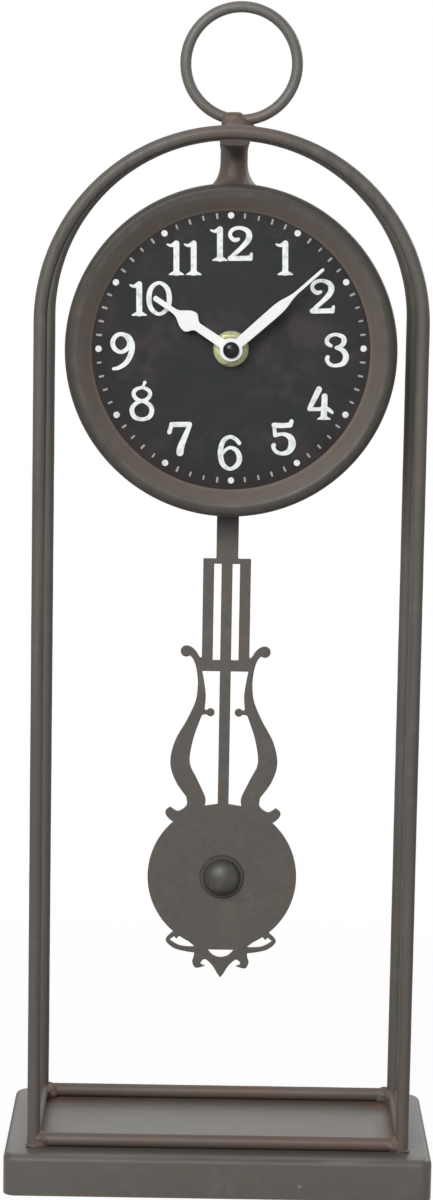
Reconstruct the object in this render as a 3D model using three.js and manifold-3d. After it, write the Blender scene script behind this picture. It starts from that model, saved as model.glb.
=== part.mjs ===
// Table clock: an arched wire frame on a sheet-steel base, a round drum hung under the arches
// and a pierced lyre pendulum. Millimetres, +Z up. The dial faces -Y, and the origin is the
// middle of the base's underside.
import * as THREE from 'three';
import { mergeVertices } from 'three/addons/utils/BufferGeometryUtils.js';
import Module from 'manifold-3d';

const wasm = await Module();
wasm.setup();

// Fits between neighbouring pieces
const WELD_GAP = 0.3;
const SEAT_GAP = 0.1;
const PRESS_GAP = 0.1;
const RUNNING_GAP = 0.25;

// Facets round a full circle
const ROD_SIDES = 10;
const SMALL_SIDES = 16;
const MEDIUM_SIDES = 20;
const LARGE_SIDES = 48;
const CURVE_STEPS = 3;

// Base pan
const BASE_WIDTH = 163.6;
const BASE_DEPTH = 87;
const BASE_HEIGHT = 16;
const BASE_SHEET = 1.2;
const BASE_CORNER = 6;
const BASE_EDGE = 2.6;

// Arched frame, bent from round rod, the rear arch a little lower; the insets run from the base's
// edges to the rods' centre lines
const ROD_DIAMETER = 5;
const SIDE_INSET = 11;
const FRONT_INSET = 11.9;
const ARCH_STEPS = 26;
const REAR_DROP = 1.5;

// Bridge between the arches, and the ring on top, set a little to the right in its saddle
const BRIDGE_WIDTH = 11;
const BRIDGE_THICKNESS = 6.4;
const BRIDGE_DROP = 1.3;
const RING_RADIUS = 20.9;
const RING_ROD = 4.2;
const RING_SHIFT = 2.2;
const SADDLE_FOOT = 13;
const SADDLE_HEAD = 5.2;
const SADDLE_RISE = 0.8;
const SADDLE_FLOOR = 0.6;
const SADDLE_SHEET = 1.2;

// Drum, measured from the dial's centre; depth is positive towards the viewer
const DIAL_HEIGHT = 321.5;
const DRUM_RADIUS = 60.7;
const DRUM_SHEET = 1.2;
const DRUM_FRONT = 18;
const DRUM_BACK = -20;
const DRUM_CORNER = 4;
const WINDOW_RADIUS = 42;
const HANGER_LENGTH = 15.1;
const HANGER_DIAMETER = 10.3;
const HANGER_BORE = 7.5;
const HANGER_FLARE = 4;
const HANGER_FLARE_HEIGHT = 8;

// Bezel, lens and dial
const BEZEL_WIDTH = 10.1;
const BEZEL_CROWN = 4.6;
const BEZEL_SLOPE = 5.7;
const BEZEL_SHOULDER = 2;
const BEZEL_CORNER = 2.4;
const BEZEL_SHEET = 1;
const BEZEL_SKIRT = 7.3;
const LENS_THICKNESS = 2;
const DIAL_FRONT = 9;
const DIAL_SHEET = 1;
const DIAL_RING_WIDTH = 3.5;
const DIAL_RING_SHEET = 1.2;

// Fixing of the movement through the dial, and the hands
const BUSH_DIAMETER = 8;
const BUSH_FLANGE = 11;
const BUSH_FLANGE_SHEET = 0.7;
const BUSH_REACH = 0.5;
const RUBBER_DIAMETER = 20;
const RUBBER_SHEET = 0.9;
const WASHER_DIAMETER = 13.5;
const WASHER_SHEET = 0.8;
const NUT_ACROSS_FLATS = 11;
const NUT_THICKNESS = 2.2;
const ARBOR_DIAMETER = 3.4;
const ARBOR_TIP_DIAMETER = 2.4;
const HOUR_PIPE_WALL = 0.6;
const HAND_SHEET = 0.5;
const HAND_SPACING = 0.8;
const HOUR_HAND_LENGTH = 35;
const HOUR_STEM_HALF = 1.85;
const HOUR_WAIST_HALF = 1.6;
const HOUR_WAIST_REACH = 14.8;
const SPADE_HALF = 4.1;
const SPADE_REACH = 18.6;
const SPADE_END = 26.2;
const HOUR_TIP_HALF = 1;
const HOUR_COLLET_HEIGHT = 1.2;
const MINUTE_HAND_LENGTH = 46;
const MINUTE_STEM_HALF = 1.75;
const BATON_HALF = 2.1;
const BATON_REACH = 22.5;
const BATON_END = 33.5;
const MINUTE_TIP_HALF = 0.6;
const HAND_HUB_DIAMETER = 8.6;
const CAP_DIAMETER = 6.1;
const CAP_HEIGHT = 2.1;
const CAP_BORE_DEPTH = 1.4;

// Time that the hands show, and the dial's slight turn in its drum in degrees
const SHOWN_HOUR = 10;
const SHOWN_MINUTE = 8.15;
const DIAL_TURN = 0.96;

// Movement case
const CASE_WIDTH = 57;
const CASE_TOP = 29;
const CASE_BOTTOM = -42;
const CASE_CORNER = 5;
const CASE_DEPTH = 17;
const CASE_WALL = 1.6;
const BOSS_WALL = 1;
const BOSS_HEIGHT = 2.9;

// Wheels: each pair meshes on one centre distance; addendum and dedendum in modules, tooth shares in pitches
const MOTION_DISTANCE = 12;
const CANNON_TEETH = 10;
const MINUTE_WHEEL_TEETH = 30;
const MINUTE_PINION_TEETH = 8;
const HOUR_WHEEL_TEETH = 32;
const DRIVE_PINION_TEETH = 8;
const CENTRE_WHEEL_TEETH = 48;
const DRIVE_DISTANCE = 10.9;
const WHEEL_THICKNESS = 1.3;
const WHEEL_GAP = 0.9;
const WHEEL_HEADROOM = 0.4;
const ADDENDUM = 0.75;
const DEDENDUM = 1.2;
const TOOTH_TIP_SHARE = 0.11;
const TOOTH_ROOT_SHARE = 0.31;
const MINUTE_WHEEL_BEARING = THREE.MathUtils.degToRad(-20);
const DRIVE_BEARING = THREE.MathUtils.degToRad(200);
const MINUTE_ARBOR_DIAMETER = 2.4;
const MINUTE_PIVOT_DIAMETER = 1.8;
const DRIVE_ARBOR_DIAMETER = 1;
const KNOB_DIAMETER = 11;
const KNOB_THICKNESS = 3.4;
const KNOB_FLUTES = 12;
const KNOB_FLUTE_DEPTH = 0.6;
const KNOB_LAND_SHARE = 0.4;

// Battery, drive and electronics
const CELL_DIAMETER = 14.2;
const CELL_LENGTH = 49;
const CELL_NUB_DIAMETER = 5.2;
const CELL_NUB_LENGTH = 1.2;
const CELL_CLEARANCE = 0.4;
const CONTACT_SHEET = 0.5;
const CONTACT_SIZE = 9;
const CONTACT_BOW = 0.7;
const BAY_WALL = 1.2;
const DRIVE_UNIT_WIDTH = 18.5;
const DRIVE_UNIT_HEIGHT = 24;
const DRIVE_UNIT_CORNER = 3;
const DRIVE_UNIT_OFFSET = 6.5;
const COIL_DIAMETER = 7.4;
const COIL_LENGTH = 11;
const CORE_BAR = 3;
const CORE_SHEET = 1.2;
const CORE_DROP = 11.2;
const BOARD_WIDTH = 17;
const BOARD_HEIGHT = 24;
const BOARD_SHEET = 1.2;
const CRYSTAL_DIAMETER = 3;
const CRYSTAL_LENGTH = 8;

// Pendulum drive inside the movement
const PIVOT_DROP = 17;
const PIVOT_PIN_DIAMETER = 2;
const SWING = THREE.MathUtils.degToRad(5);
const LEVER_HUB_DIAMETER = 6.4;
const LEVER_HUB_LENGTH = 5.5;
const LEVER_WIDTH = 6;
const LEVER_SHEET = 2;
const LEVER_LENGTH = 33;
const LEVER_STAND_OFF = 0.45;
const HOOK_PEG = 2.6;
const HOOK_LIP = 2;
const HOOK_LIP_SHEET = 1.2;
const HOOK_DROP = 30.5;
const MAGNET_DIAMETER = 6;
const MAGNET_THICKNESS = 1.4;
const MAGNET_GAP = 0.6;
const IMPULSE_DROP = 14;
const IMPULSE_COIL_DIAMETER = 12;

// Pendulum plate: heights above the table, half widths from its centre line. The lyre's arms are drawn
// by shares of the way from the disc up to the grid, and the ornaments from the disc's rim.
const PLATE_SHEET = 1.5;
const STRAP_WIDTH = 8.4;
const STRAP_HEAD = 2.5;
const GRID_TOP = 240.4;
const GRID_BOTTOM = 200.9;
const GRID_HALF = 9.15;
const GRID_BAR = 4.2;
const GRID_TOP_BAR = 2;
const CROSSBAR_DEPTH = 4.3;
const DISC_HEIGHT = 115.5;
const DISC_RADIUS = 28.9;
const ARM_NECK = 10.5;
const ARM_BELLY = 20.7;
const ARM_FOOT = 14.3;
const WINDOW_NECK = 7.4;
const WINDOW_BELLY = 13.15;
const WINDOW_FOOT = 7.05;
const NUB_REACH = 5.45;
const NUB_SHARE = 0.69;
const NUB_BALL = 1.55;
const NUB_STEM = 1.6;
const SCROLL_BALL = 2.15;
const SCROLL_SPREAD = 6;
const SCROLL_RISE = 3.35;
const SCROLL_VALLEY = 0.9;
const EAR_ANGLE = THREE.MathUtils.degToRad(48.4);
const LOOP_ANGLE = THREE.MathUtils.degToRad(-49.9);
const SPIKE_DROP = 11.5;
const PLATE_CHORD = 1.9;
const SLOT_CLEARANCE = 1.6;

// Boss on the pendulum's disc
const BOSS_DIAMETER = 14.5;
const BOSS_CROWN = 5.2;
const BOSS_COLLAR = 16.4;
const BOSS_COLLAR_SHEET = 0.8;
const STUD_DIAMETER = 3;
const STUD_HEAD_DIAMETER = 8;
const STUD_HEAD_SHEET = 1.2;
const STUD_REACH = 3;

// Finishes, as colour, roughness and metalness
const AGED_STEEL = { color: 0x5f5a55, roughness: 0.55, metalness: 0.85 };
const BASE_STEEL = { color: 0x7d7a73, roughness: 0.6, metalness: 0.8 };
const DIAL_BLACK = { color: 0x373738, roughness: 0.8, metalness: 0 };
const HAND_WHITE = { color: 0xf5faf8, roughness: 0.5, metalness: 0 };
const PALE_BRASS = { color: 0xa5a05f, roughness: 0.35, metalness: 1 };
const CAP_BLACK = { color: 0x101010, roughness: 0.25, metalness: 0.2 };
const CASE_PLASTIC = { color: 0x1c1c1e, roughness: 0.55, metalness: 0 };
const WHEEL_PLASTIC = { color: 0xe8e6dc, roughness: 0.5, metalness: 0 };
const BRIGHT_STEEL = { color: 0xb4b4b2, roughness: 0.3, metalness: 1 };
const COPPER_WIRE = { color: 0xa65a2e, roughness: 0.4, metalness: 0.9 };
const BOARD_GREEN = { color: 0x1f5a34, roughness: 0.6, metalness: 0 };
const CELL_JACKET = { color: 0x3c4650, roughness: 0.4, metalness: 0.3 };
const RUBBER_BLACK = { color: 0x151515, roughness: 0.9, metalness: 0 };
const CLEAR_GLASS = { color: 0xf4f8f8, roughness: 0.03, metalness: 0, transparent: true, opacity: 0.15 };

// Sizes that follow from the ones above
const ROD_RADIUS = ROD_DIAMETER / 2;
const ARCH_SPAN = BASE_WIDTH - 2 * SIDE_INSET;
const ARCH_SPACING = BASE_DEPTH - 2 * FRONT_INSET;
const ARCH_HALF = ARCH_SPAN / 2;
const ARCH_OFFSET = ARCH_SPACING / 2;
const RAIL_HEIGHT = BASE_HEIGHT + WELD_GAP + ROD_RADIUS;
const HANGER_TOP = DIAL_HEIGHT + DRUM_RADIUS + HANGER_LENGTH;
const BRIDGE_TOP = HANGER_TOP + SEAT_GAP + BRIDGE_THICKNESS;
const ARCH_APEX = BRIDGE_TOP + SEAT_GAP + BRIDGE_DROP - ROD_RADIUS;
const REAR_APEX = ARCH_APEX - REAR_DROP;
const RING_SEAT = SADDLE_FLOOR + SEAT_GAP;
const RING_HEIGHT = BRIDGE_TOP + SEAT_GAP + RING_SEAT + RING_ROD / 2 + RING_RADIUS;
const LENS_BACK = DRUM_FRONT + SEAT_GAP;
const BEZEL_INNER = DRUM_RADIUS + WELD_GAP;
const BEZEL_OUTER = BEZEL_INNER + BEZEL_SHEET;
const BEZEL_LIP = LENS_BACK + LENS_THICKNESS + SEAT_GAP;
const DRUM_INSIDE = DRUM_RADIUS - DRUM_SHEET;
const DIAL_RADIUS = DRUM_INSIDE - WELD_GAP;
const DIAL_BACK = DIAL_FRONT - DIAL_SHEET;
const CASE_FRONT = DIAL_BACK - RUBBER_SHEET - SEAT_GAP;
const CASE_BACK = CASE_FRONT - CASE_DEPTH;
const INSIDE_FRONT = CASE_FRONT - CASE_WALL;
const INSIDE_BACK = CASE_BACK + CASE_WALL;
const INSIDE_HALF = CASE_WIDTH / 2 - CASE_WALL;
const ARBOR_RADIUS = ARBOR_DIAMETER / 2;
const PIPE_BORE = ARBOR_RADIUS + RUNNING_GAP;
const PIPE_RADIUS = PIPE_BORE + HOUR_PIPE_WALL;
const BUSH_BORE = PIPE_RADIUS + RUNNING_GAP;
const BUSH_RADIUS = BUSH_DIAMETER / 2;
const NUT_BACK = DIAL_FRONT + WASHER_SHEET + 2 * SEAT_GAP;
const BUSH_END = NUT_BACK + NUT_THICKNESS + BUSH_REACH;
const HOUR_HAND_BACK = BUSH_END + WHEEL_HEADROOM;
const HOUR_PIPE_END = HOUR_HAND_BACK + HOUR_COLLET_HEIGHT;
const MINUTE_HAND_BACK = HOUR_PIPE_END + HAND_SPACING;
const CAP_BACK = MINUTE_HAND_BACK + HAND_SHEET + SEAT_GAP;
const MINUTE_ANGLE = THREE.MathUtils.degToRad(DIAL_TURN - 6 * SHOWN_MINUTE);
const HOUR_ANGLE = THREE.MathUtils.degToRad(DIAL_TURN - 30 * (SHOWN_HOUR + SHOWN_MINUTE / 60));
const CELL_CENTRE_Y = CASE_TOP - CASE_WALL - CELL_CLEARANCE - CELL_DIAMETER / 2;
const CELL_CENTRE_Z = INSIDE_FRONT - CELL_CLEARANCE - CELL_DIAMETER / 2;
const BAY_FLOOR = CELL_CENTRE_Y - CELL_DIAMETER / 2 - CELL_CLEARANCE;
const LEVER_FRONT = -PLATE_SHEET / 2 - LEVER_STAND_OFF;
const LEVER_BACK = LEVER_FRONT - LEVER_SHEET;
const LEVER_HUB_BACK = LEVER_BACK - WHEEL_GAP;
const HOOK_HEIGHT = -PIVOT_DROP - HOOK_DROP;
const STRAP_TOP = DIAL_HEIGHT + HOOK_HEIGHT + HOOK_PEG / 2 + RUNNING_GAP + STRAP_HEAD;
const DRIVE_UNIT_FRONT = wheelLevel(2).back - WHEEL_GAP;

// Depth range of a wheel level, counted from the dial side
function wheelLevel(index) {
  const front = INSIDE_FRONT - WHEEL_HEADROOM - index * (WHEEL_THICKNESS + WHEEL_GAP);
  return { front, back: front - WHEEL_THICKNESS };
}

// Closed solid of a geometry, for joining and cutting
function solid(geometry) {
  const bare = geometry.clone();
  bare.deleteAttribute('normal');
  bare.deleteAttribute('uv');
  const merged = mergeVertices(bare, 1e-4);
  const vertProperties = Float32Array.from(merged.attributes.position.array);
  const triVerts = Uint32Array.from(merged.index.array);
  return new wasm.Manifold(new wasm.Mesh({ numProp: 3, vertProperties, triVerts }));
}

function geometryOf(body) {
  const { vertProperties, triVerts } = body.getMesh();
  const geometry = new THREE.BufferGeometry();
  geometry.setAttribute('position', new THREE.BufferAttribute(Float32Array.from(vertProperties), 3));
  geometry.setIndex(new THREE.BufferAttribute(Uint32Array.from(triVerts), 1));
  geometry.computeVertexNormals();
  return geometry;
}

function cut(base, ...tools) {
  return geometryOf(tools.reduce((body, tool) => body.subtract(solid(tool)), solid(base)));
}

function join(base, ...others) {
  return geometryOf(others.reduce((body, other) => body.add(solid(other)), solid(base)));
}

// Solid of revolution about Z; the profile runs counterclockwise in radius and height
function turned(profile, sides) {
  const points = profile.map(([radius, height]) => new THREE.Vector2(radius, height));
  return new THREE.LatheGeometry(points, sides).rotateX(Math.PI / 2);
}

// Round bar or disc about Z between two heights
function round(radius, low, high, sides) {
  const bar = new THREE.CylinderGeometry(radius, radius, high - low, sides);
  return bar.rotateX(Math.PI / 2).translate(0, 0, (low + high) / 2);
}

// Tube about Z between two heights
function sleeve(inner, outer, low, high, sides) {
  return turned([[inner, low], [outer, low], [outer, high], [inner, high], [inner, low]], sides);
}

function block(left, right, bottom, top, low, high) {
  const box = new THREE.BoxGeometry(right - left, top - bottom, high - low);
  return box.translate((left + right) / 2, (bottom + top) / 2, (low + high) / 2);
}

// Flat piece of an outline between two heights
function plate(shape, low, high, curveSegments = CURVE_STEPS) {
  const settings = { depth: high - low, bevelEnabled: false, curveSegments };
  return new THREE.ExtrudeGeometry(shape, settings).translate(0, 0, low);
}

function roundedRectangle(left, right, bottom, top, corner) {
  const shape = new THREE.Shape();
  shape.moveTo(left + corner, bottom);
  shape.absarc(right - corner, bottom + corner, corner, -Math.PI / 2, 0);
  shape.absarc(right - corner, top - corner, corner, 0, Math.PI / 2);
  shape.absarc(left + corner, top - corner, corner, Math.PI / 2, Math.PI);
  shape.absarc(left + corner, bottom + corner, corner, Math.PI, 1.5 * Math.PI);
  return shape;
}

function polar(radius, angle) {
  return new THREE.Vector2(radius * Math.cos(angle), radius * Math.sin(angle));
}

// Points of a quarter or half ellipse, for turned profiles
function ellipse(centre, across, up, from, to, steps) {
  return Array.from({ length: steps + 1 }, (_, index) => {
    const angle = from + ((to - from) * index) / steps;
    return [centre[0] + across * Math.cos(angle), centre[1] + up * Math.sin(angle)];
  });
}

function addPiece(parent, name, geometry, finish) {
  const piece = new THREE.Mesh(geometry, new THREE.MeshStandardMaterial(finish));
  piece.name = name;
  parent.add(piece);
  return piece;
}

const clockGroup = new THREE.Group();
const drum = new THREE.Group();
drum.position.z = DIAL_HEIGHT;
drum.rotation.x = Math.PI / 2;
clockGroup.add(drum);

// Base pan

// Corner points of a level rounded rectangle, counterclockwise from above
function panRing(inset, corner, height) {
  const halfWidth = BASE_WIDTH / 2 - inset;
  const halfDepth = BASE_DEPTH / 2 - inset;
  const outline = roundedRectangle(-halfWidth, halfWidth, -halfDepth, halfDepth, corner);
  const points = outline.getPoints(CURVE_STEPS).slice(0, -1);
  return points.map((point) => new THREE.Vector3(point.x, point.y, height));
}

// Closed skin through level rings, from the first cap to the last
function loft(rings) {
  const count = rings[0].length;
  const index = [];
  for (let ring = 0; ring + 1 < rings.length; ring += 1) {
    for (let side = 0; side < count; side += 1) {
      const here = ring * count + side;
      const next = ring * count + ((side + 1) % count);
      index.push(here, next, next + count, here, next + count, here + count);
    }
  }
  const last = (rings.length - 1) * count;
  for (let side = 1; side + 1 < count; side += 1) {
    index.push(0, side + 1, side);
    index.push(last, last + side, last + side + 1);
  }
  const geometry = new THREE.BufferGeometry().setFromPoints(rings.flat());
  geometry.setIndex(index);
  geometry.computeVertexNormals();
  return geometry;
}

function basePan() {
  const innerCorner = BASE_CORNER - BASE_SHEET;
  const rings = [
    panRing(BASE_SHEET, innerCorner, BASE_HEIGHT - BASE_SHEET),
    panRing(BASE_SHEET, innerCorner, 0),
    panRing(0, BASE_CORNER, 0),
  ];
  for (const [across, up] of ellipse([0, 0], BASE_EDGE, BASE_EDGE, 0, Math.PI / 2, 3)) {
    const inset = BASE_EDGE - across;
    rings.push(panRing(inset, BASE_CORNER - inset, BASE_HEIGHT - BASE_EDGE + up));
  }
  return loft(rings);
}

addPiece(clockGroup, 'base_tray', basePan(), BASE_STEEL);

// Arches and rails

// Straight legs under a half circle, one station per leg and equal steps round the bend
class ArchCurve extends THREE.Curve {
  constructor(apex) {
    super();
    this.apex = apex;
  }

  getPoint(t, target = new THREE.Vector3()) {
    const spring = this.apex - ARCH_HALF;
    const station = t * (ARCH_STEPS + 2);
    const lastBend = ARCH_STEPS + 1;
    if (station <= 1) {
      return target.set(-ARCH_HALF, 0, THREE.MathUtils.lerp(BASE_HEIGHT, spring, station));
    }
    if (station >= lastBend) {
      return target.set(ARCH_HALF, 0, THREE.MathUtils.lerp(spring, BASE_HEIGHT, station - lastBend));
    }
    const angle = Math.PI * (1 - (station - 1) / ARCH_STEPS);
    return target.set(ARCH_HALF * Math.cos(angle), 0, spring + ARCH_HALF * Math.sin(angle));
  }

  getUtoTmapping(u) {
    return u;
  }
}

function regularPolygon(sides, radius) {
  return Array.from({ length: sides }, (_, side) => polar(radius, (side * 2 * Math.PI) / sides));
}

function archRod(side, apex, radius) {
  const settings = { steps: ARCH_STEPS + 2, extrudePath: new ArchCurve(apex), bevelEnabled: false };
  const rod = new THREE.ExtrudeGeometry(new THREE.Shape(regularPolygon(ROD_SIDES, radius)), settings);
  return rod.translate(0, side * ARCH_OFFSET, 0);
}

addPiece(clockGroup, 'front_arch', archRod(-1, ARCH_APEX, ROD_RADIUS), AGED_STEEL);
addPiece(clockGroup, 'rear_arch', archRod(1, REAR_APEX, ROD_RADIUS), AGED_STEEL);

// Upright of the frame, grown by the weld gap, at one corner
function uprightClearance(sideX, sideY) {
  const grown = round(ROD_RADIUS + WELD_GAP, 0, RAIL_HEIGHT + ROD_DIAMETER, ROD_SIDES);
  return grown.translate(sideX * ARCH_HALF, sideY * ARCH_OFFSET, 0);
}

for (const [name, side] of [['front_rail', -1], ['rear_rail', 1]]) {
  const rod = new THREE.CylinderGeometry(ROD_RADIUS, ROD_RADIUS, ARCH_SPAN, ROD_SIDES);
  rod.rotateZ(Math.PI / 2).translate(0, side * ARCH_OFFSET, RAIL_HEIGHT);
  const rail = cut(rod, uprightClearance(-1, side), uprightClearance(1, side));
  addPiece(clockGroup, name, rail, AGED_STEEL);
}

// The side rails butt against the uprights' inner sides
const sideRailLength = ARCH_SPACING - ROD_DIAMETER - 2 * WELD_GAP;
for (const [name, side] of [['left_rail', -1], ['right_rail', 1]]) {
  const rail = new THREE.CylinderGeometry(ROD_RADIUS, ROD_RADIUS, sideRailLength, ROD_SIDES);
  addPiece(clockGroup, name, rail, AGED_STEEL).position.set(side * ARCH_HALF, 0, RAIL_HEIGHT);
}

// Bridge, ring and saddle

function topBridge() {
  const half = BRIDGE_WIDTH / 2;
  const bar = block(-half, half, -ARCH_OFFSET, ARCH_OFFSET, BRIDGE_TOP - BRIDGE_THICKNESS, BRIDGE_TOP);
  const clearance = ROD_RADIUS + WELD_GAP;
  return cut(bar, archRod(-1, ARCH_APEX, clearance), archRod(1, REAR_APEX, clearance));
}

// Clip that cradles the ring: a block with hollow flanks and a slot for the rod, open at the top
function ringSaddle() {
  const foot = SADDLE_FOOT / 2;
  const head = SADDLE_HEAD / 2;
  const top = RING_SEAT + RING_ROD + SADDLE_RISE;
  const cheek = new THREE.Shape();
  cheek.moveTo(-foot, 0);
  cheek.lineTo(foot, 0);
  cheek.quadraticCurveTo(head, top / 3, head, top);
  cheek.lineTo(-head, top);
  cheek.quadraticCurveTo(-head, top / 3, -foot, 0);
  const slotHalf = RING_ROD / 2 + WELD_GAP;
  const clip = plate(cheek, -slotHalf - SADDLE_SHEET, slotHalf + SADDLE_SHEET);
  const slot = block(-foot, foot, SADDLE_FLOOR, 2 * top, -slotHalf, slotHalf);
  return cut(clip, slot).rotateX(Math.PI / 2);
}

addPiece(clockGroup, 'top_bridge', topBridge(), AGED_STEEL);
addPiece(clockGroup, 'ring_saddle', ringSaddle(), AGED_STEEL).position.z = BRIDGE_TOP + SEAT_GAP;

const finialRing = new THREE.TorusGeometry(RING_RADIUS, RING_ROD / 2, ROD_SIDES, 2 * MEDIUM_SIDES);
finialRing.rotateX(Math.PI / 2);
addPiece(clockGroup, 'finial_ring', finialRing, AGED_STEEL).position.set(RING_SHIFT, 0, RING_HEIGHT);

// Hanger tube, coped to the drum
function hangerTube() {
  const radius = HANGER_DIAMETER / 2;
  const bore = HANGER_BORE / 2;
  const top = HANGER_TOP - DIAL_HEIGHT;
  const flareTop = DRUM_RADIUS + HANGER_FLARE_HEIGHT;
  const inside = DRUM_RADIUS - HANGER_FLARE_HEIGHT;
  const flare = ellipse([radius + HANGER_FLARE, flareTop], HANGER_FLARE, HANGER_FLARE_HEIGHT,
    1.5 * Math.PI, Math.PI, 5);
  const profile = [[bore, inside], [radius + HANGER_FLARE, inside], ...flare, [radius, top], [bore, top]];
  const tube = turned([...profile, profile[0]], MEDIUM_SIDES).rotateX(-Math.PI / 2);
  return cut(tube, round(DRUM_RADIUS + WELD_GAP, DRUM_BACK, DRUM_FRONT, LARGE_SIDES));
}

addPiece(drum, 'hanger_tube', hangerTube(), AGED_STEEL);

// Drum case, with a round window at the back and a slot below for the pendulum
function drumCase() {
  const inner = DRUM_INSIDE;
  const corner = DRUM_CORNER;
  const innerCorner = corner - DRUM_SHEET;
  const bendCentre = [DRUM_RADIUS - corner, DRUM_BACK + corner];
  const outerBend = ellipse(bendCentre, corner, corner, -Math.PI / 2, 0, 3);
  const innerBend = ellipse(bendCentre, innerCorner, innerCorner, 0, -Math.PI / 2, 3);
  const profile = [
    [WINDOW_RADIUS, DRUM_BACK], ...outerBend, [DRUM_RADIUS, DRUM_FRONT], [inner, DRUM_FRONT], ...innerBend,
    [WINDOW_RADIUS, DRUM_BACK + DRUM_SHEET], [WINDOW_RADIUS, DRUM_BACK],
  ];
  const shell = turned(profile, LARGE_SIDES);
  const reach = (DRUM_RADIUS - PIVOT_DROP) * Math.tan(SWING);
  const halfSlot = STRAP_WIDTH / 2 + reach + SLOT_CLEARANCE;
  const halfDepth = PLATE_SHEET / 2 + SLOT_CLEARANCE;
  const slotTop = corner - DRUM_RADIUS;
  const slot = block(-halfSlot, halfSlot, -corner - DRUM_RADIUS, slotTop, -halfDepth, halfDepth);
  return cut(shell, slot);
}

addPiece(drum, 'drum_case', drumCase(), AGED_STEEL);

// Bezel: a pressed sheet with a face that slopes in to the lens, a flat crest, a rounded rim and a skirt
// over the drum's front edge
function bezelRing() {
  const crest = BEZEL_LIP + BEZEL_CROWN;
  const edge = BEZEL_OUTER - BEZEL_WIDTH;
  const incline = Math.atan2(BEZEL_CROWN, BEZEL_SLOPE);
  const upright = Math.PI / 2;
  const rim = [BEZEL_OUTER - BEZEL_CORNER, crest - BEZEL_CORNER];
  const shoulder = [edge + BEZEL_SLOPE + BEZEL_SHOULDER * Math.tan(incline / 2), crest - BEZEL_SHOULDER];
  const bend = (centre, radius, from, to, steps) => ellipse(centre, radius, radius, from, to, steps);
  const skirt = BEZEL_LIP - BEZEL_SKIRT;
  return turned([
    [BEZEL_INNER, skirt], [BEZEL_OUTER, skirt],
    ...bend(rim, BEZEL_CORNER, 0, upright, 4), ...bend(shoulder, BEZEL_SHOULDER, upright, upright + incline, 2),
    [edge, BEZEL_LIP], [edge + BEZEL_SHEET / Math.sin(incline), BEZEL_LIP],
    ...bend(shoulder, BEZEL_SHOULDER - BEZEL_SHEET, upright + incline, upright, 1),
    ...bend(rim, BEZEL_CORNER - BEZEL_SHEET, upright, 0, 2), [BEZEL_INNER, skirt],
  ], LARGE_SIDES);
}

addPiece(drum, 'bezel_ring', bezelRing(), AGED_STEEL);

const lens = round(DRUM_RADIUS - SEAT_GAP, LENS_BACK, LENS_BACK + LENS_THICKNESS, LARGE_SIDES);
addPiece(drum, 'dial_lens', lens, CLEAR_GLASS);

const dialBore = BUSH_RADIUS + WELD_GAP;
addPiece(drum, 'dial_plate', sleeve(dialBore, DIAL_RADIUS, DIAL_BACK, DIAL_FRONT, LARGE_SIDES), DIAL_BLACK);

const ringFront = DIAL_BACK - SEAT_GAP;
const ringBack = ringFront - DIAL_RING_SHEET;
const dialRing = sleeve(DIAL_RADIUS - DIAL_RING_WIDTH, DIAL_RADIUS, ringBack, ringFront, LARGE_SIDES);
addPiece(drum, 'dial_ring', dialRing, AGED_STEEL);

// Fixing of the movement through the dial
function shaftBush() {
  const flange = BUSH_FLANGE / 2;
  const flangeBack = CASE_FRONT + SEAT_GAP;
  const flangeFront = flangeBack + BUSH_FLANGE_SHEET;
  return turned([
    [BUSH_BORE, INSIDE_FRONT], [BUSH_RADIUS, INSIDE_FRONT], [BUSH_RADIUS, flangeBack], [flange, flangeBack],
    [flange, flangeFront], [BUSH_RADIUS, flangeFront], [BUSH_RADIUS, BUSH_END], [BUSH_BORE, BUSH_END],
    [BUSH_BORE, INSIDE_FRONT],
  ], MEDIUM_SIDES);
}

function handNut() {
  const hexagon = new THREE.Shape(regularPolygon(6, NUT_ACROSS_FLATS / Math.sqrt(3)));
  hexagon.holes.push(new THREE.Path().absarc(0, 0, BUSH_RADIUS + PRESS_GAP, 0, 2 * Math.PI, true));
  return plate(hexagon, NUT_BACK, NUT_BACK + NUT_THICKNESS, MEDIUM_SIDES / 2);
}

addPiece(drum, 'shaft_bush', shaftBush(), PALE_BRASS);
const rubberBack = CASE_FRONT + SEAT_GAP / 2;
const rubberFront = rubberBack + RUBBER_SHEET;
const rubberBore = BUSH_FLANGE / 2 + WELD_GAP;
const rubber = sleeve(rubberBore, RUBBER_DIAMETER / 2, rubberBack, rubberFront, MEDIUM_SIDES);
addPiece(drum, 'rubber_washer', rubber, RUBBER_BLACK);
const washerBack = DIAL_FRONT + SEAT_GAP;
const washer = sleeve(dialBore, WASHER_DIAMETER / 2, washerBack, washerBack + WASHER_SHEET, MEDIUM_SIDES);
addPiece(drum, 'brass_washer', washer, PALE_BRASS);
addPiece(drum, 'hand_nut', handNut(), PALE_BRASS);

// Hands, drawn pointing up and turned to the time they show

// Outline mirrored about the hand's centre line; the curve runs from the hub to the tip
function mirrored(path) {
  const right = path.getPoints(CURVE_STEPS);
  const left = right.filter((point) => point.x > 0).reverse();
  return new THREE.Shape([...right, ...left.map((point) => new THREE.Vector2(-point.x, point.y))]);
}

// S-curve between two half widths of a hand, in line with the hand at both ends
function swell(path, [fromHalf, fromReach], [toHalf, toReach]) {
  const reach = (fromReach + toReach) / 2;
  path.quadraticCurveTo(fromHalf, (fromReach + reach) / 2, (fromHalf + toHalf) / 2, reach);
  path.quadraticCurveTo(toHalf, (reach + toReach) / 2, toHalf, toReach);
}

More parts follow.
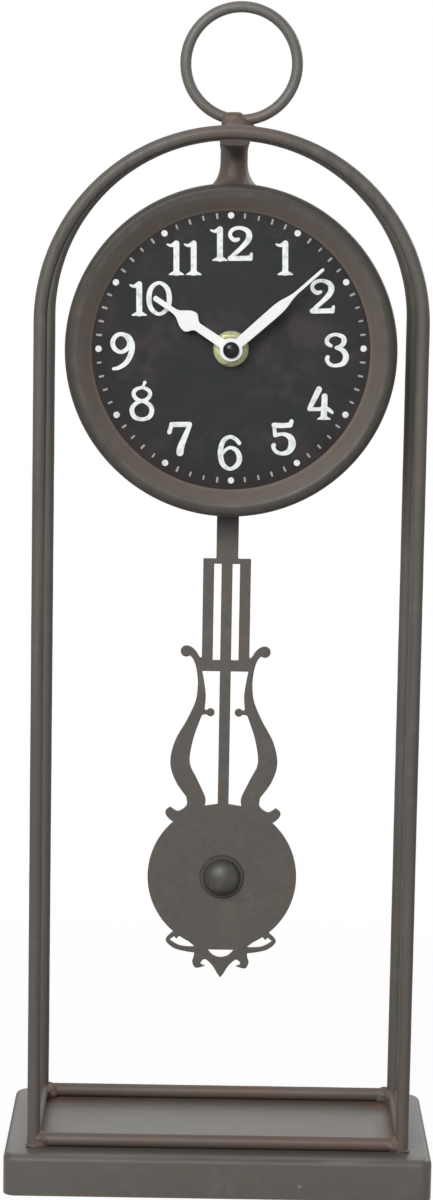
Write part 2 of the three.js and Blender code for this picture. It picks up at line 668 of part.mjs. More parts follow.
function hourHand() {
  const spade = new THREE.Path();
  spade.moveTo(HOUR_STEM_HALF, 0);
  spade.lineTo(HOUR_WAIST_HALF, HOUR_WAIST_REACH);
  swell(spade, [HOUR_WAIST_HALF, HOUR_WAIST_REACH], [SPADE_HALF, SPADE_REACH]);
  swell(spade, [SPADE_HALF, SPADE_REACH], [HOUR_TIP_HALF, SPADE_END]);
  spade.lineTo(HOUR_TIP_HALF, HOUR_HAND_LENGTH - HOUR_TIP_HALF / 2);
  spade.lineTo(HOUR_TIP_HALF / 2, HOUR_HAND_LENGTH);
  const blade = plate(mirrored(spade), HOUR_HAND_BACK, HOUR_HAND_BACK + HAND_SHEET);
  const collet = round(HAND_HUB_DIAMETER / 2, HOUR_HAND_BACK, HOUR_PIPE_END, MEDIUM_SIDES);
  const bore = round(PIPE_RADIUS + PRESS_GAP, BUSH_END, MINUTE_HAND_BACK, SMALL_SIDES);
  return cut(join(blade, collet), bore).rotateZ(HOUR_ANGLE);
}

function minuteHand() {
  const baton = new THREE.Path();
  baton.moveTo(MINUTE_STEM_HALF, 0);
  baton.quadraticCurveTo(BATON_HALF, BATON_REACH / 2, BATON_HALF, BATON_REACH);
  swell(baton, [BATON_HALF, BATON_REACH], [MINUTE_TIP_HALF, BATON_END]);
  baton.lineTo(MINUTE_TIP_HALF, MINUTE_HAND_LENGTH - MINUTE_TIP_HALF);
  baton.lineTo(MINUTE_TIP_HALF / 2, MINUTE_HAND_LENGTH);
  const front = MINUTE_HAND_BACK + HAND_SHEET;
  const blade = plate(mirrored(baton), MINUTE_HAND_BACK, front);
  const hub = round(HAND_HUB_DIAMETER / 2, MINUTE_HAND_BACK, front, MEDIUM_SIDES);
  const bore = round(ARBOR_RADIUS + PRESS_GAP, HOUR_PIPE_END, front + HAND_SPACING, SMALL_SIDES);
  return cut(join(blade, hub), bore).rotateZ(MINUTE_ANGLE);
}

function handCap() {
  const radius = CAP_DIAMETER / 2;
  const bore = ARBOR_TIP_DIAMETER / 2 + PRESS_GAP;
  const rim = CAP_BACK + CAP_HEIGHT / 4;
  const dome = ellipse([0, rim], radius, CAP_HEIGHT - CAP_HEIGHT / 4, 0, Math.PI / 2, 3);
  const floor = CAP_BACK + CAP_BORE_DEPTH;
  return turned([[0, floor], [bore, floor], [bore, CAP_BACK], [radius, CAP_BACK], ...dome], MEDIUM_SIDES);
}

addPiece(drum, 'hour_hand', hourHand(), HAND_WHITE);
addPiece(drum, 'minute_hand', minuteHand(), HAND_WHITE);
addPiece(drum, 'hand_cap', handCap(), CAP_BLACK);

// Movement case: a front plate and a rear cover with an open battery bay
const minuteCentre = polar(MOTION_DISTANCE, MINUTE_WHEEL_BEARING);
const driveCentre = polar(DRIVE_DISTANCE, DRIVE_BEARING);

function frontPlate() {
  const outline = roundedRectangle(-CASE_WIDTH / 2, CASE_WIDTH / 2, CASE_BOTTOM, CASE_TOP, CASE_CORNER);
  const sheet = plate(outline, INSIDE_FRONT, CASE_FRONT);
  const pinBore = PIVOT_PIN_DIAMETER / 2 + PRESS_GAP;
  const bossBack = LEVER_HUB_BACK + LEVER_HUB_LENGTH + RUNNING_GAP;
  const boss = round(pinBore + BOSS_WALL, bossBack, INSIDE_FRONT + SEAT_GAP, SMALL_SIDES);
  boss.translate(0, -PIVOT_DROP, 0);
  const pinHole = round(pinBore, bossBack - WELD_GAP, INSIDE_FRONT, SMALL_SIDES).translate(0, -PIVOT_DROP, 0);
  const bushHole = round(BUSH_RADIUS + PRESS_GAP, CASE_BACK, CASE_FRONT + CASE_WALL, MEDIUM_SIDES);
  const pivotRadius = MINUTE_PIVOT_DIAMETER / 2 + RUNNING_GAP;
  const pivotHole = round(pivotRadius, CASE_BACK, CASE_FRONT + CASE_WALL, SMALL_SIDES);
  pivotHole.translate(minuteCentre.x, minuteCentre.y, 0);
  return cut(join(sheet, boss), pinHole, bushHole, pivotHole);
}

// Bearing boss on the rear wall
function rearBoss(bore, centre) {
  const boss = round(bore + BOSS_WALL, INSIDE_BACK - SEAT_GAP, INSIDE_BACK + BOSS_HEIGHT, SMALL_SIDES);
  return boss.translate(centre.x, centre.y, 0);
}

function rearCover() {
  const half = CASE_WIDTH / 2;
  const front = INSIDE_FRONT - SEAT_GAP;
  const outline = roundedRectangle(-half, half, CASE_BOTTOM, CASE_TOP, CASE_CORNER);
  const hollow = roundedRectangle(-INSIDE_HALF, INSIDE_HALF, CASE_BOTTOM + CASE_WALL, CASE_TOP - CASE_WALL,
    CASE_CORNER - CASE_WALL);
  const shell = cut(plate(outline, CASE_BACK, front), plate(hollow, INSIDE_BACK, front + CASE_WALL));
  const bayWall = block(-INSIDE_HALF - SEAT_GAP, INSIDE_HALF + SEAT_GAP, BAY_FLOOR - BAY_WALL, BAY_FLOOR,
    INSIDE_BACK - SEAT_GAP, front);
  const arborBore = ARBOR_RADIUS + RUNNING_GAP;
  const pinBore = PIVOT_PIN_DIAMETER / 2 + PRESS_GAP;
  const knobBore = MINUTE_ARBOR_DIAMETER / 2 + RUNNING_GAP;
  const centre = new THREE.Vector2();
  const pivot = new THREE.Vector2(0, -PIVOT_DROP);
  const body = join(shell, bayWall, rearBoss(arborBore, centre), rearBoss(pinBore, pivot),
    rearBoss(knobBore, minuteCentre));
  const bayWindow = block(-INSIDE_HALF, INSIDE_HALF, BAY_FLOOR, CASE_TOP - CASE_WALL, CASE_BACK - CASE_WALL,
    INSIDE_BACK + CASE_WALL);
  const bossFront = INSIDE_BACK + BOSS_HEIGHT + CASE_WALL;
  const arborHole = round(arborBore, INSIDE_BACK, bossFront, SMALL_SIDES);
  const pinHole = round(pinBore, INSIDE_BACK, bossFront, SMALL_SIDES).translate(0, -PIVOT_DROP, 0);
  const knobHole = round(knobBore, CASE_BACK - CASE_WALL, bossFront, SMALL_SIDES);
  knobHole.translate(minuteCentre.x, minuteCentre.y, 0);
  const sweep = (-CASE_BOTTOM - PIVOT_DROP) * Math.tan(SWING);
  const halfSlot = LEVER_WIDTH / 2 + sweep + SLOT_CLEARANCE;
  const leverSlot = block(-halfSlot, halfSlot, CASE_BOTTOM - CASE_WALL, CASE_BOTTOM + 2 * CASE_WALL,
    LEVER_BACK - SLOT_CLEARANCE, LEVER_FRONT + SLOT_CLEARANCE);
  return cut(body, bayWindow, arborHole, pinHole, knobHole, leverSlot);
}

addPiece(drum, 'front_plate', frontPlate(), CASE_PLASTIC);
addPiece(drum, 'rear_cover', rearCover(), CASE_PLASTIC);

// Wheels

// Toothed outline with one tooth centred on toothAngle
function toothedShape(teeth, pitchRadius, toothAngle) {
  const module = (2 * pitchRadius) / teeth;
  const tip = pitchRadius + ADDENDUM * module;
  const root = pitchRadius - DEDENDUM * module;
  const step = (2 * Math.PI) / teeth;
  const halfTip = TOOTH_TIP_SHARE * step;
  const halfRoot = TOOTH_ROOT_SHARE * step;
  const points = [];
  for (let tooth = 0; tooth < teeth; tooth += 1) {
    const angle = toothAngle + tooth * step;
    points.push(polar(root, angle - halfRoot), polar(tip, angle - halfTip));
    points.push(polar(tip, angle + halfTip), polar(root, angle + halfRoot));
  }
  return new THREE.Shape(points);
}

function toothedWheel(teeth, pitchRadius, toothAngle, level) {
  return plate(toothedShape(teeth, pitchRadius, toothAngle), level.back, level.front);
}

function boredWheel(teeth, pitchRadius, toothAngle, level, bore) {
  const shape = toothedShape(teeth, pitchRadius, toothAngle);
  shape.holes.push(new THREE.Path().absarc(0, 0, bore, 0, 2 * Math.PI, true));
  return plate(shape, level.back, level.front, SMALL_SIDES / 2);
}

// Pitch radius of the first of two meshed wheels
function pitchRadius(teeth, otherTeeth, distance) {
  return (distance * teeth) / (teeth + otherTeeth);
}

// Angle that puts a gap, not a tooth, on the line towards a meshed wheel
function gapTowards(bearing, teeth) {
  return bearing + Math.PI / teeth;
}

const towardsCentre = MINUTE_WHEEL_BEARING + Math.PI;
const hourPitch = pitchRadius(HOUR_WHEEL_TEETH, MINUTE_PINION_TEETH, MOTION_DISTANCE);
const cannonPitch = pitchRadius(CANNON_TEETH, MINUTE_WHEEL_TEETH, MOTION_DISTANCE);
const centrePitch = pitchRadius(CENTRE_WHEEL_TEETH, DRIVE_PINION_TEETH, DRIVE_DISTANCE);

function hourWheel() {
  const level = wheelLevel(0);
  const wheel = toothedWheel(HOUR_WHEEL_TEETH, hourPitch, MINUTE_WHEEL_BEARING, level);
  const pipe = round(PIPE_RADIUS, level.back, HOUR_PIPE_END, SMALL_SIDES);
  const bore = round(PIPE_BORE, level.back - WHEEL_GAP, HOUR_PIPE_END + WHEEL_GAP, SMALL_SIDES);
  return cut(join(wheel, pipe), bore);
}

// Minute wheel, its pinion and their arbor, which reaches out at the back for the setting knob
function minuteWheel() {
  const wheelPitch = MOTION_DISTANCE - cannonPitch;
  const pinionPitch = MOTION_DISTANCE - hourPitch;
  const wheelPhase = gapTowards(towardsCentre, MINUTE_WHEEL_TEETH);
  const pinionPhase = gapTowards(towardsCentre, MINUTE_PINION_TEETH);
  const wheel = toothedWheel(MINUTE_WHEEL_TEETH, wheelPitch, wheelPhase, wheelLevel(1));
  const pinion = toothedWheel(MINUTE_PINION_TEETH, pinionPitch, pinionPhase, wheelLevel(0));
  const arborBack = CASE_BACK - KNOB_THICKNESS;
  const arbor = round(MINUTE_ARBOR_DIAMETER / 2, arborBack, wheelLevel(0).front, SMALL_SIDES);
  const pivot = round(MINUTE_PIVOT_DIAMETER / 2, wheelLevel(0).back, CASE_FRONT - WELD_GAP, SMALL_SIDES);
  return join(wheel, pinion, arbor, pivot).translate(minuteCentre.x, minuteCentre.y, 0);
}

function settingKnob() {
  const radius = KNOB_DIAMETER / 2;
  const flute = (2 * Math.PI) / KNOB_FLUTES;
  const middle = (1 + KNOB_LAND_SHARE) / 2;
  const outline = [];
  for (let index = 0; index < KNOB_FLUTES; index += 1) {
    outline.push(polar(radius, index * flute), polar(radius, (index + KNOB_LAND_SHARE) * flute));
    outline.push(polar(radius - KNOB_FLUTE_DEPTH, (index + middle) * flute));
  }
  const front = CASE_BACK - WELD_GAP;
  const knob = plate(new THREE.Shape(outline), front - KNOB_THICKNESS - WHEEL_GAP, front);
  const socketBack = CASE_BACK - KNOB_THICKNESS - PRESS_GAP;
  const socket = round(MINUTE_ARBOR_DIAMETER / 2 + PRESS_GAP, socketBack, CASE_BACK, SMALL_SIDES);
  return cut(knob, socket).translate(minuteCentre.x, minuteCentre.y, 0);
}

function centreArbor() {
  const tip = ARBOR_TIP_DIAMETER / 2;
  const shoulder = CAP_BACK - SEAT_GAP;
  const tipEnd = CAP_BACK + CAP_BORE_DEPTH - PRESS_GAP;
  const rear = INSIDE_BACK + RUNNING_GAP;
  return turned([[0, rear], [ARBOR_RADIUS, rear], [ARBOR_RADIUS, shoulder], [tip, shoulder], [tip, tipEnd],
    [0, tipEnd]], SMALL_SIDES);
}

function drivePinion() {
  const level = wheelLevel(2);
  const pitch = DRIVE_DISTANCE - centrePitch;
  const phase = gapTowards(DRIVE_BEARING + Math.PI, DRIVE_PINION_TEETH);
  const pinion = toothedWheel(DRIVE_PINION_TEETH, pitch, phase, level);
  const arborBack = DRIVE_UNIT_FRONT - 2 * WHEEL_GAP;
  const arbor = round(DRIVE_ARBOR_DIAMETER / 2, arborBack, level.front, SMALL_SIDES / 2);
  return join(pinion, arbor).translate(driveCentre.x, driveCentre.y, 0);
}

const arborFit = ARBOR_RADIUS + PRESS_GAP;
addPiece(drum, 'centre_arbor', centreArbor(), BRIGHT_STEEL);
addPiece(drum, 'hour_wheel', hourWheel(), WHEEL_PLASTIC);
addPiece(drum, 'minute_wheel', minuteWheel(), WHEEL_PLASTIC);
addPiece(drum, 'setting_knob', settingKnob(), CASE_PLASTIC);
const cannon = boredWheel(CANNON_TEETH, cannonPitch, MINUTE_WHEEL_BEARING, wheelLevel(1), arborFit);
addPiece(drum, 'cannon_pinion', cannon, WHEEL_PLASTIC);
const centreWheel = boredWheel(CENTRE_WHEEL_TEETH, centrePitch, DRIVE_BEARING, wheelLevel(2), arborFit);
addPiece(drum, 'centre_wheel', centreWheel, WHEEL_PLASTIC);
addPiece(drum, 'drive_pinion', drivePinion(), WHEEL_PLASTIC);

// Drive unit, its coil and core
const unitRight = -DRIVE_UNIT_OFFSET;
const unitLeft = unitRight - DRIVE_UNIT_WIDTH;
const unitTop = BAY_FLOOR - BAY_WALL - WHEEL_GAP;
const unitBottom = unitTop - DRIVE_UNIT_HEIGHT;
const coreMiddle = INSIDE_BACK + WELD_GAP + COIL_DIAMETER / 2;

function driveUnit() {
  const outline = roundedRectangle(unitLeft, unitRight, unitBottom, unitTop, DRIVE_UNIT_CORNER);
  const body = plate(outline, INSIDE_BACK + WELD_GAP, DRIVE_UNIT_FRONT);
  const bearing = round(DRIVE_ARBOR_DIAMETER / 2 + RUNNING_GAP, DRIVE_UNIT_FRONT - 3 * WHEEL_GAP,
    DRIVE_UNIT_FRONT + WHEEL_GAP, SMALL_SIDES / 2);
  return cut(body, bearing.translate(driveCentre.x, driveCentre.y, 0));
}

// Flat U whose lower bar passes through the coil
function statorCore() {
  const top = unitBottom - WELD_GAP;
  const bottom = top - CORE_DROP;
  const shape = new THREE.Shape();
  shape.moveTo(unitLeft, top);
  shape.lineTo(unitLeft, bottom);
  shape.lineTo(unitRight, bottom);
  shape.lineTo(unitRight, top);
  shape.lineTo(unitRight - CORE_BAR, top);
  shape.lineTo(unitRight - CORE_BAR, bottom + CORE_BAR);
  shape.lineTo(unitLeft + CORE_BAR, bottom + CORE_BAR);
  shape.lineTo(unitLeft + CORE_BAR, top);
  return plate(shape, coreMiddle - CORE_SHEET / 2, coreMiddle + CORE_SHEET / 2);
}

function driveCoil() {
  const middleX = (unitLeft + unitRight) / 2;
  const middleY = unitBottom - WELD_GAP - CORE_DROP + CORE_BAR / 2;
  const winding = new THREE.CylinderGeometry(COIL_DIAMETER / 2, COIL_DIAMETER / 2, COIL_LENGTH, SMALL_SIDES);
  winding.rotateZ(Math.PI / 2).translate(middleX, middleY, coreMiddle);
  const halfBar = CORE_BAR / 2 + WELD_GAP;
  const halfSheet = CORE_SHEET / 2 + WELD_GAP;
  const channel = block(unitLeft, unitRight, middleY - halfBar, middleY + halfBar, coreMiddle - halfSheet,
    coreMiddle + halfSheet);
  return cut(winding, channel);
}

addPiece(drum, 'drive_unit', driveUnit(), CASE_PLASTIC);
addPiece(drum, 'stator_core', statorCore(), BRIGHT_STEEL);
addPiece(drum, 'drive_coil', driveCoil(), COPPER_WIRE);

// Circuit board and crystal
const boardRight = INSIDE_HALF - WELD_GAP;
const boardBottom = CASE_BOTTOM + CASE_WALL + WELD_GAP;
const boardFront = INSIDE_BACK + WELD_GAP + BOARD_SHEET;
const boardLeft = boardRight - BOARD_WIDTH;
const boardTop = boardBottom + BOARD_HEIGHT;
const boardOutline = roundedRectangle(boardLeft, boardRight, boardBottom, boardTop, CASE_CORNER - CASE_WALL);
const board = plate(boardOutline, boardFront - BOARD_SHEET, boardFront);
addPiece(drum, 'circuit_board', board, BOARD_GREEN);

const crystalRadius = CRYSTAL_DIAMETER / 2;
const crystal = new THREE.CylinderGeometry(crystalRadius, crystalRadius, CRYSTAL_LENGTH, ROD_SIDES);
const crystalRise = boardFront + WELD_GAP + crystalRadius;
crystal.translate((boardLeft + boardRight) / 2, (boardBottom + boardTop) / 2, crystalRise);
addPiece(drum, 'crystal', crystal, BRIGHT_STEEL);

// Battery and its two contacts
function cell() {
  const radius = CELL_DIAMETER / 2;
  const nub = CELL_NUB_DIAMETER / 2;
  const end = CELL_LENGTH / 2;
  const profile = [[0, -end], [radius, -end], [radius, end], [nub, end], [nub, end + CELL_NUB_LENGTH],
    [0, end + CELL_NUB_LENGTH]];
  return turned(profile, MEDIUM_SIDES).rotateY(Math.PI / 2);
}

// Spring leaf with a bow, drawn in the plane of its edge; side is +1 right, -1 left
function contact(side, reach) {
  const face = side * (INSIDE_HALF - SEAT_GAP);
  const back = face - side * CONTACT_SHEET;
  const half = CONTACT_SIZE / 2;
  const bowed = side * Math.min(CONTACT_BOW, reach);
  const outline = [[face, -half], [face, half], [back, half], [back - bowed, 0], [back, -half]];
  const ordered = side > 0 ? outline : [...outline].reverse();
  const shape = new THREE.Shape(ordered.map(([x, y]) => new THREE.Vector2(x, y + CELL_CENTRE_Y)));
  return plate(shape, CELL_CENTRE_Z - half, CELL_CENTRE_Z + half);
}

const cellShift = -CELL_NUB_LENGTH / 2;
addPiece(drum, 'battery', cell(), CELL_JACKET).position.set(cellShift, CELL_CENTRE_Y, CELL_CENTRE_Z);
const cellReach = CELL_LENGTH / 2 + CELL_NUB_LENGTH / 2;
const contactRoom = INSIDE_HALF - SEAT_GAP - CONTACT_SHEET - cellReach - WELD_GAP;
addPiece(drum, 'positive_contact', contact(1, contactRoom), BRIGHT_STEEL);
addPiece(drum, 'negative_contact', contact(-1, contactRoom), BRIGHT_STEEL);

// Pendulum drive: pin, lever with its hook, magnet and coil
const pin = round(PIVOT_PIN_DIAMETER / 2, INSIDE_BACK + WELD_GAP, INSIDE_FRONT - WELD_GAP, SMALL_SIDES);
addPiece(drum, 'pivot_pin', pin.translate(0, -PIVOT_DROP, 0), BRIGHT_STEEL);

function pendulumLever() {
  const half = LEVER_WIDTH / 2;
  const arm = plate(roundedRectangle(-half, half, -LEVER_LENGTH, 0, half / 2), LEVER_BACK, LEVER_FRONT);
  const hub = round(LEVER_HUB_DIAMETER / 2, LEVER_HUB_BACK, LEVER_HUB_BACK + LEVER_HUB_LENGTH, SMALL_SIDES);
  const pegHalf = HOOK_PEG / 2;
  const lipBack = PLATE_SHEET / 2 + LEVER_STAND_OFF;
  const lipFront = lipBack + HOOK_LIP_SHEET;
  const pegBottom = -HOOK_DROP - pegHalf;
  const pegTop = -HOOK_DROP + pegHalf;
  const peg = block(-pegHalf, pegHalf, pegBottom, pegTop, LEVER_BACK, lipFront);
  const lip = block(-pegHalf, pegHalf, pegBottom, pegTop + HOOK_LIP, lipBack, lipFront);
  const bore = round(PIVOT_PIN_DIAMETER / 2 + RUNNING_GAP, CASE_BACK, CASE_FRONT, SMALL_SIDES);
  return cut(join(arm, hub, peg, lip), bore).translate(0, -PIVOT_DROP, 0);
}

addPiece(drum, 'pendulum_lever', pendulumLever(), WHEEL_PLASTIC);
const impulseY = -PIVOT_DROP - IMPULSE_DROP;
const magnetFront = LEVER_BACK - SEAT_GAP;
const magnetBack = magnetFront - MAGNET_THICKNESS;
const magnet = round(MAGNET_DIAMETER / 2, magnetBack, magnetFront, SMALL_SIDES).translate(0, impulseY, 0);
addPiece(drum, 'lever_magnet', magnet, BRIGHT_STEEL);
const coilFront = magnetBack - MAGNET_GAP;
const impulseCoil = round(IMPULSE_COIL_DIAMETER / 2, INSIDE_BACK + WELD_GAP, coilFront, MEDIUM_SIDES);
addPiece(drum, 'impulse_coil', impulseCoil.translate(0, impulseY, 0), COPPER_WIRE);

// Pendulum plate: strap, grid, lyre, disc and pierced foot in one sheet

// Height of the disc's rim at a distance from its centre line
function rimHeight(x, side) {
  return DISC_HEIGHT + side * Math.sqrt(DISC_RADIUS ** 2 - x ** 2);
}

// Height at a share of the way from the disc's top to the grid's crossbar
function lyreHeight(share) {
  return THREE.MathUtils.lerp(DISC_HEIGHT + DISC_RADIUS, GRID_BOTTOM - CROSSBAR_DEPTH, share);
}

function curveThrough(path, points) {
  path.splineThru(points.map(([x, y]) => new THREE.Vector2(x, y)));
}

// Points given from a place on the plate
function offsetFrom(place, offsets) {
  return offsets.map(([x, y]) => [place.x + x, place.y + y]);
}

function rimPoint(angle) {
  return polar(DISC_RADIUS, angle).add(new THREE.Vector2(0, DISC_HEIGHT));
}

const discBottom = new THREE.Vector2(0, DISC_HEIGHT - DISC_RADIUS);

// Outer edge of the lyre's right arm, from the scroll at the grid down to the disc
function armOutside(path) {
  path.quadraticCurveTo(ARM_NECK + 0.5, GRID_BOTTOM, ARM_NECK, lyreHeight(0.91));
  curveThrough(path, [
    [ARM_NECK + 0.7, lyreHeight(0.78)], [ARM_NECK + 4, lyreHeight(0.63)], [ARM_BELLY - 1.7, lyreHeight(0.47)],
    [ARM_BELLY, lyreHeight(0.31)], [ARM_BELLY - 2.1, lyreHeight(0.17)], [ARM_FOOT, lyreHeight(0.05)],
  ]);
}

// Ear on the disc's shoulder
function ear(path) {
  const root = rimPoint(EAR_ANGLE);
  curveThrough(path, offsetFrom(root, [[-5, 6.5], [-1.8, 4.2], [1.2, 5.8]]));
  path.quadraticCurveTo(root.x + 4, root.y + 4.5, root.x + 2.8, root.y + 2.5);
  path.quadraticCurveTo(root.x + 1.6, root.y + 0.7, root.x, root.y);
}

// Loop, curl and spike under the disc
function foot(path) {
  curveThrough(path, offsetFrom(discBottom, [[21.5, 3.4], [18.5, 0.2], [14, -1.1], [10.35, -1.6]]));
  curveThrough(path, offsetFrom(discBottom, [[10.5, -3.4], [11, -5.4], [9.6, -7.7], [6.1, -6.9]]));
  const spikeSide = [1.2, 1.6 - SPIKE_DROP];
  curveThrough(path, offsetFrom(discBottom, [[7.8, -5.9], [6.1, -4.2], [3.3, -6.5], spikeSide]));
  path.lineTo(discBottom.x, discBottom.y - SPIKE_DROP);
}

// Right half of the outline, from the strap's top down to the spike
function plateOutline() {
  const path = new THREE.Path();
  path.moveTo(0, STRAP_TOP);
  path.lineTo(STRAP_WIDTH / 2, STRAP_TOP);
  path.lineTo(STRAP_WIDTH / 2, GRID_TOP);
  path.lineTo(GRID_HALF, GRID_TOP);
  path.lineTo(GRID_HALF, GRID_BOTTOM + SCROLL_VALLEY);
  path.lineTo(GRID_HALF + SCROLL_VALLEY, GRID_BOTTOM + SCROLL_VALLEY);
  const ball = new THREE.Vector2(GRID_HALF + SCROLL_SPREAD, GRID_BOTTOM + SCROLL_RISE);
  const ballTop = ball.y + SCROLL_BALL;
  path.quadraticCurveTo(ball.x - SCROLL_SPREAD / 2, ballTop, ball.x, ballTop);
  path.absarc(ball.x, ball.y, SCROLL_BALL, Math.PI / 2, -0.72 * Math.PI, true);
  armOutside(path);
  ear(path);
  path.absarc(0, DISC_HEIGHT, DISC_RADIUS, EAR_ANGLE, LOOP_ANGLE, true);
  foot(path);
  return path;
}

// Window between the centre rod and one arm of the lyre, with the nub that stands in it
function lyreWindow() {
  const rod = GRID_BAR / 2;
  const nubHeight = lyreHeight(NUB_SHARE);
  const stem = NUB_STEM / 2;
  const path = new THREE.Path();
  path.moveTo(rod, lyreHeight(1));
  path.lineTo(rod, rimHeight(rod, 1));
  path.lineTo(WINDOW_FOOT, rimHeight(WINDOW_FOOT, 1));
  curveThrough(path, [
    [WINDOW_FOOT, lyreHeight(0.05)], [WINDOW_FOOT + 3.1, lyreHeight(0.18)], [WINDOW_BELLY, lyreHeight(0.31)],
    [WINDOW_BELLY - 1.1, lyreHeight(0.48)], [WINDOW_NECK + 2, nubHeight - 2 * NUB_STEM],
  ]);
  path.lineTo(WINDOW_NECK + 1, nubHeight - stem);
  path.lineTo(NUB_REACH + NUB_BALL, nubHeight - stem);
  path.absarc(NUB_REACH, nubHeight, NUB_BALL, -0.2 * Math.PI, 0.2 * Math.PI, true);
  path.lineTo(WINDOW_NECK + 0.4, nubHeight + stem);
  curveThrough(path, [
    [WINDOW_NECK, lyreHeight(0.81)], [WINDOW_NECK + 0.6, lyreHeight(0.91)],
    [WINDOW_NECK + 1.5, lyreHeight(1)],
  ]);
  return path;
}

function gridGap() {
  const left = GRID_BAR / 2;
  const right = GRID_HALF - GRID_BAR;
  return new THREE.Path().setFromPoints([
    new THREE.Vector2(left, GRID_TOP - GRID_TOP_BAR),
    new THREE.Vector2(left, GRID_BOTTOM),
    new THREE.Vector2(right, GRID_BOTTOM),
    new THREE.Vector2(right, GRID_TOP - GRID_TOP_BAR),
  ]);
}

// Slim opening between the disc's rim and the loop under it
function footLoop() {
  const path = new THREE.Path();
  path.moveTo(10, rimHeight(10, -1) - 1);
  curveThrough(path, offsetFrom(discBottom, [[13, 0.7], [16.6, 1.3], [20.1, 3.4]]));
  const loopEnd = rimPoint(LOOP_ANGLE);
  path.lineTo(loopEnd.x - 0.4, loopEnd.y - 2);
  path.lineTo(loopEnd.x - 1.2, loopEnd.y - 3);
  path.lineTo(16.2, rimHeight(16.2, -1));
  path.lineTo(12.7, rimHeight(12.7, -1));
  return path;
}

function footCrescent() {
  const path = new THREE.Path();
  path.moveTo(-5.1, discBottom.y - WELD_GAP);
  curveThrough(path, offsetFrom(discBottom, [[-3, -2.5], [0, -3.4], [3, -2.5], [5.1, -WELD_GAP]]));
  return path;
}

function mirrorPoints(points) {
  return points.map((point) => new THREE.Vector2(-point.x, point.y)).reverse();
}

// Points along a drawn path: the corners of its straight runs and short chords round its curves
function pathPoints(path) {
  const points = path.curves.flatMap((curve) => {
    const straight = curve instanceof THREE.LineCurve;
    return curve.getPoints(straight ? 1 : Math.max(3, Math.ceil(curve.getLength() / PLATE_CHORD)));
  });
  return points.filter((point, index) => index === 0 || point.distanceTo(points[index - 1]) > WELD_GAP);
}

function pendulumPlate() {
  const right = pathPoints(plateOutline());
  const left = mirrorPoints(right.slice(1, -1));
  const sheet = plate(new THREE.Shape([...right, ...left]), -PLATE_SHEET / 2, PLATE_SHEET / 2);
  const openings = [pathPoints(footCrescent())];
  for (const half of [gridGap(), lyreWindow(), footLoop()]) {
    const points = pathPoints(half);
    openings.push(points, mirrorPoints(points));
  }
  const pierced = openings.map((points) => plate(new THREE.Shape(points), -PLATE_SHEET, PLATE_SHEET));
  const slotHalf = HOOK_PEG / 2 + RUNNING_GAP;
  const slotTop = STRAP_TOP - STRAP_HEAD;
  const slotBottom = slotTop - HOOK_PEG - HOOK_LIP - 2 * RUNNING_GAP;
  const slot = block(-slotHalf, slotHalf, slotBottom, slotTop, -PLATE_SHEET, PLATE_SHEET);
  const studHole = round(STUD_DIAMETER / 2 + PRESS_GAP, -PLATE_SHEET, PLATE_SHEET, SMALL_SIDES);
  studHole.translate(0, DISC_HEIGHT, 0);
  return cut(sheet, slot, studHole, ...pierced).translate(0, -DIAL_HEIGHT, 0);
}

// Domed boss on the front of the disc
function bobBoss() {
  const collar = BOSS_COLLAR / 2;
  const back = PLATE_SHEET / 2 + SEAT_GAP;
  const step = back + BOSS_COLLAR_SHEET;
  const bore = STUD_DIAMETER / 2 + PRESS_GAP;
  const boreEnd = back + STUD_REACH;
  const dome = ellipse([0, step], BOSS_DIAMETER / 2, BOSS_CROWN, 0, Math.PI / 2, 4);
  return turned([[0, boreEnd], [bore, boreEnd], [bore, back], [collar, back], [collar, step], ...dome],
    MEDIUM_SIDES).translate(0, DISC_HEIGHT - DIAL_HEIGHT, 0);
}

function bobStud() {
  const shank = STUD_DIAMETER / 2;
  const head = STUD_HEAD_DIAMETER / 2;
  const headFront = -PLATE_SHEET / 2 - SEAT_GAP;
  const end = PLATE_SHEET / 2 + STUD_REACH - PRESS_GAP;
  const profile = [[0, headFront - STUD_HEAD_SHEET], [head, headFront - STUD_HEAD_SHEET], [head, headFront],
    [shank, headFront], [shank, end], [0, end]];
  return turned(profile, SMALL_SIDES).translate(0, DISC_HEIGHT - DIAL_HEIGHT, 0);
}

addPiece(drum, 'pendulum_plate', pendulumPlate(), AGED_STEEL);
addPiece(drum, 'bob_boss', bobBoss(), AGED_STEEL);
addPiece(drum, 'bob_stud', bobStud(), AGED_STEEL);

export default clockGroup;
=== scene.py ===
"""Table clock with a lyre pendulum: finished pieces, materials, light and camera round the packed model."""
import math

import bmesh
import bpy
from bpy.props import FloatProperty, FloatVectorProperty, IntProperty, PointerProperty
from mathutils import Matrix, Vector
from mathutils.geometry import delaunay_2d_cdt


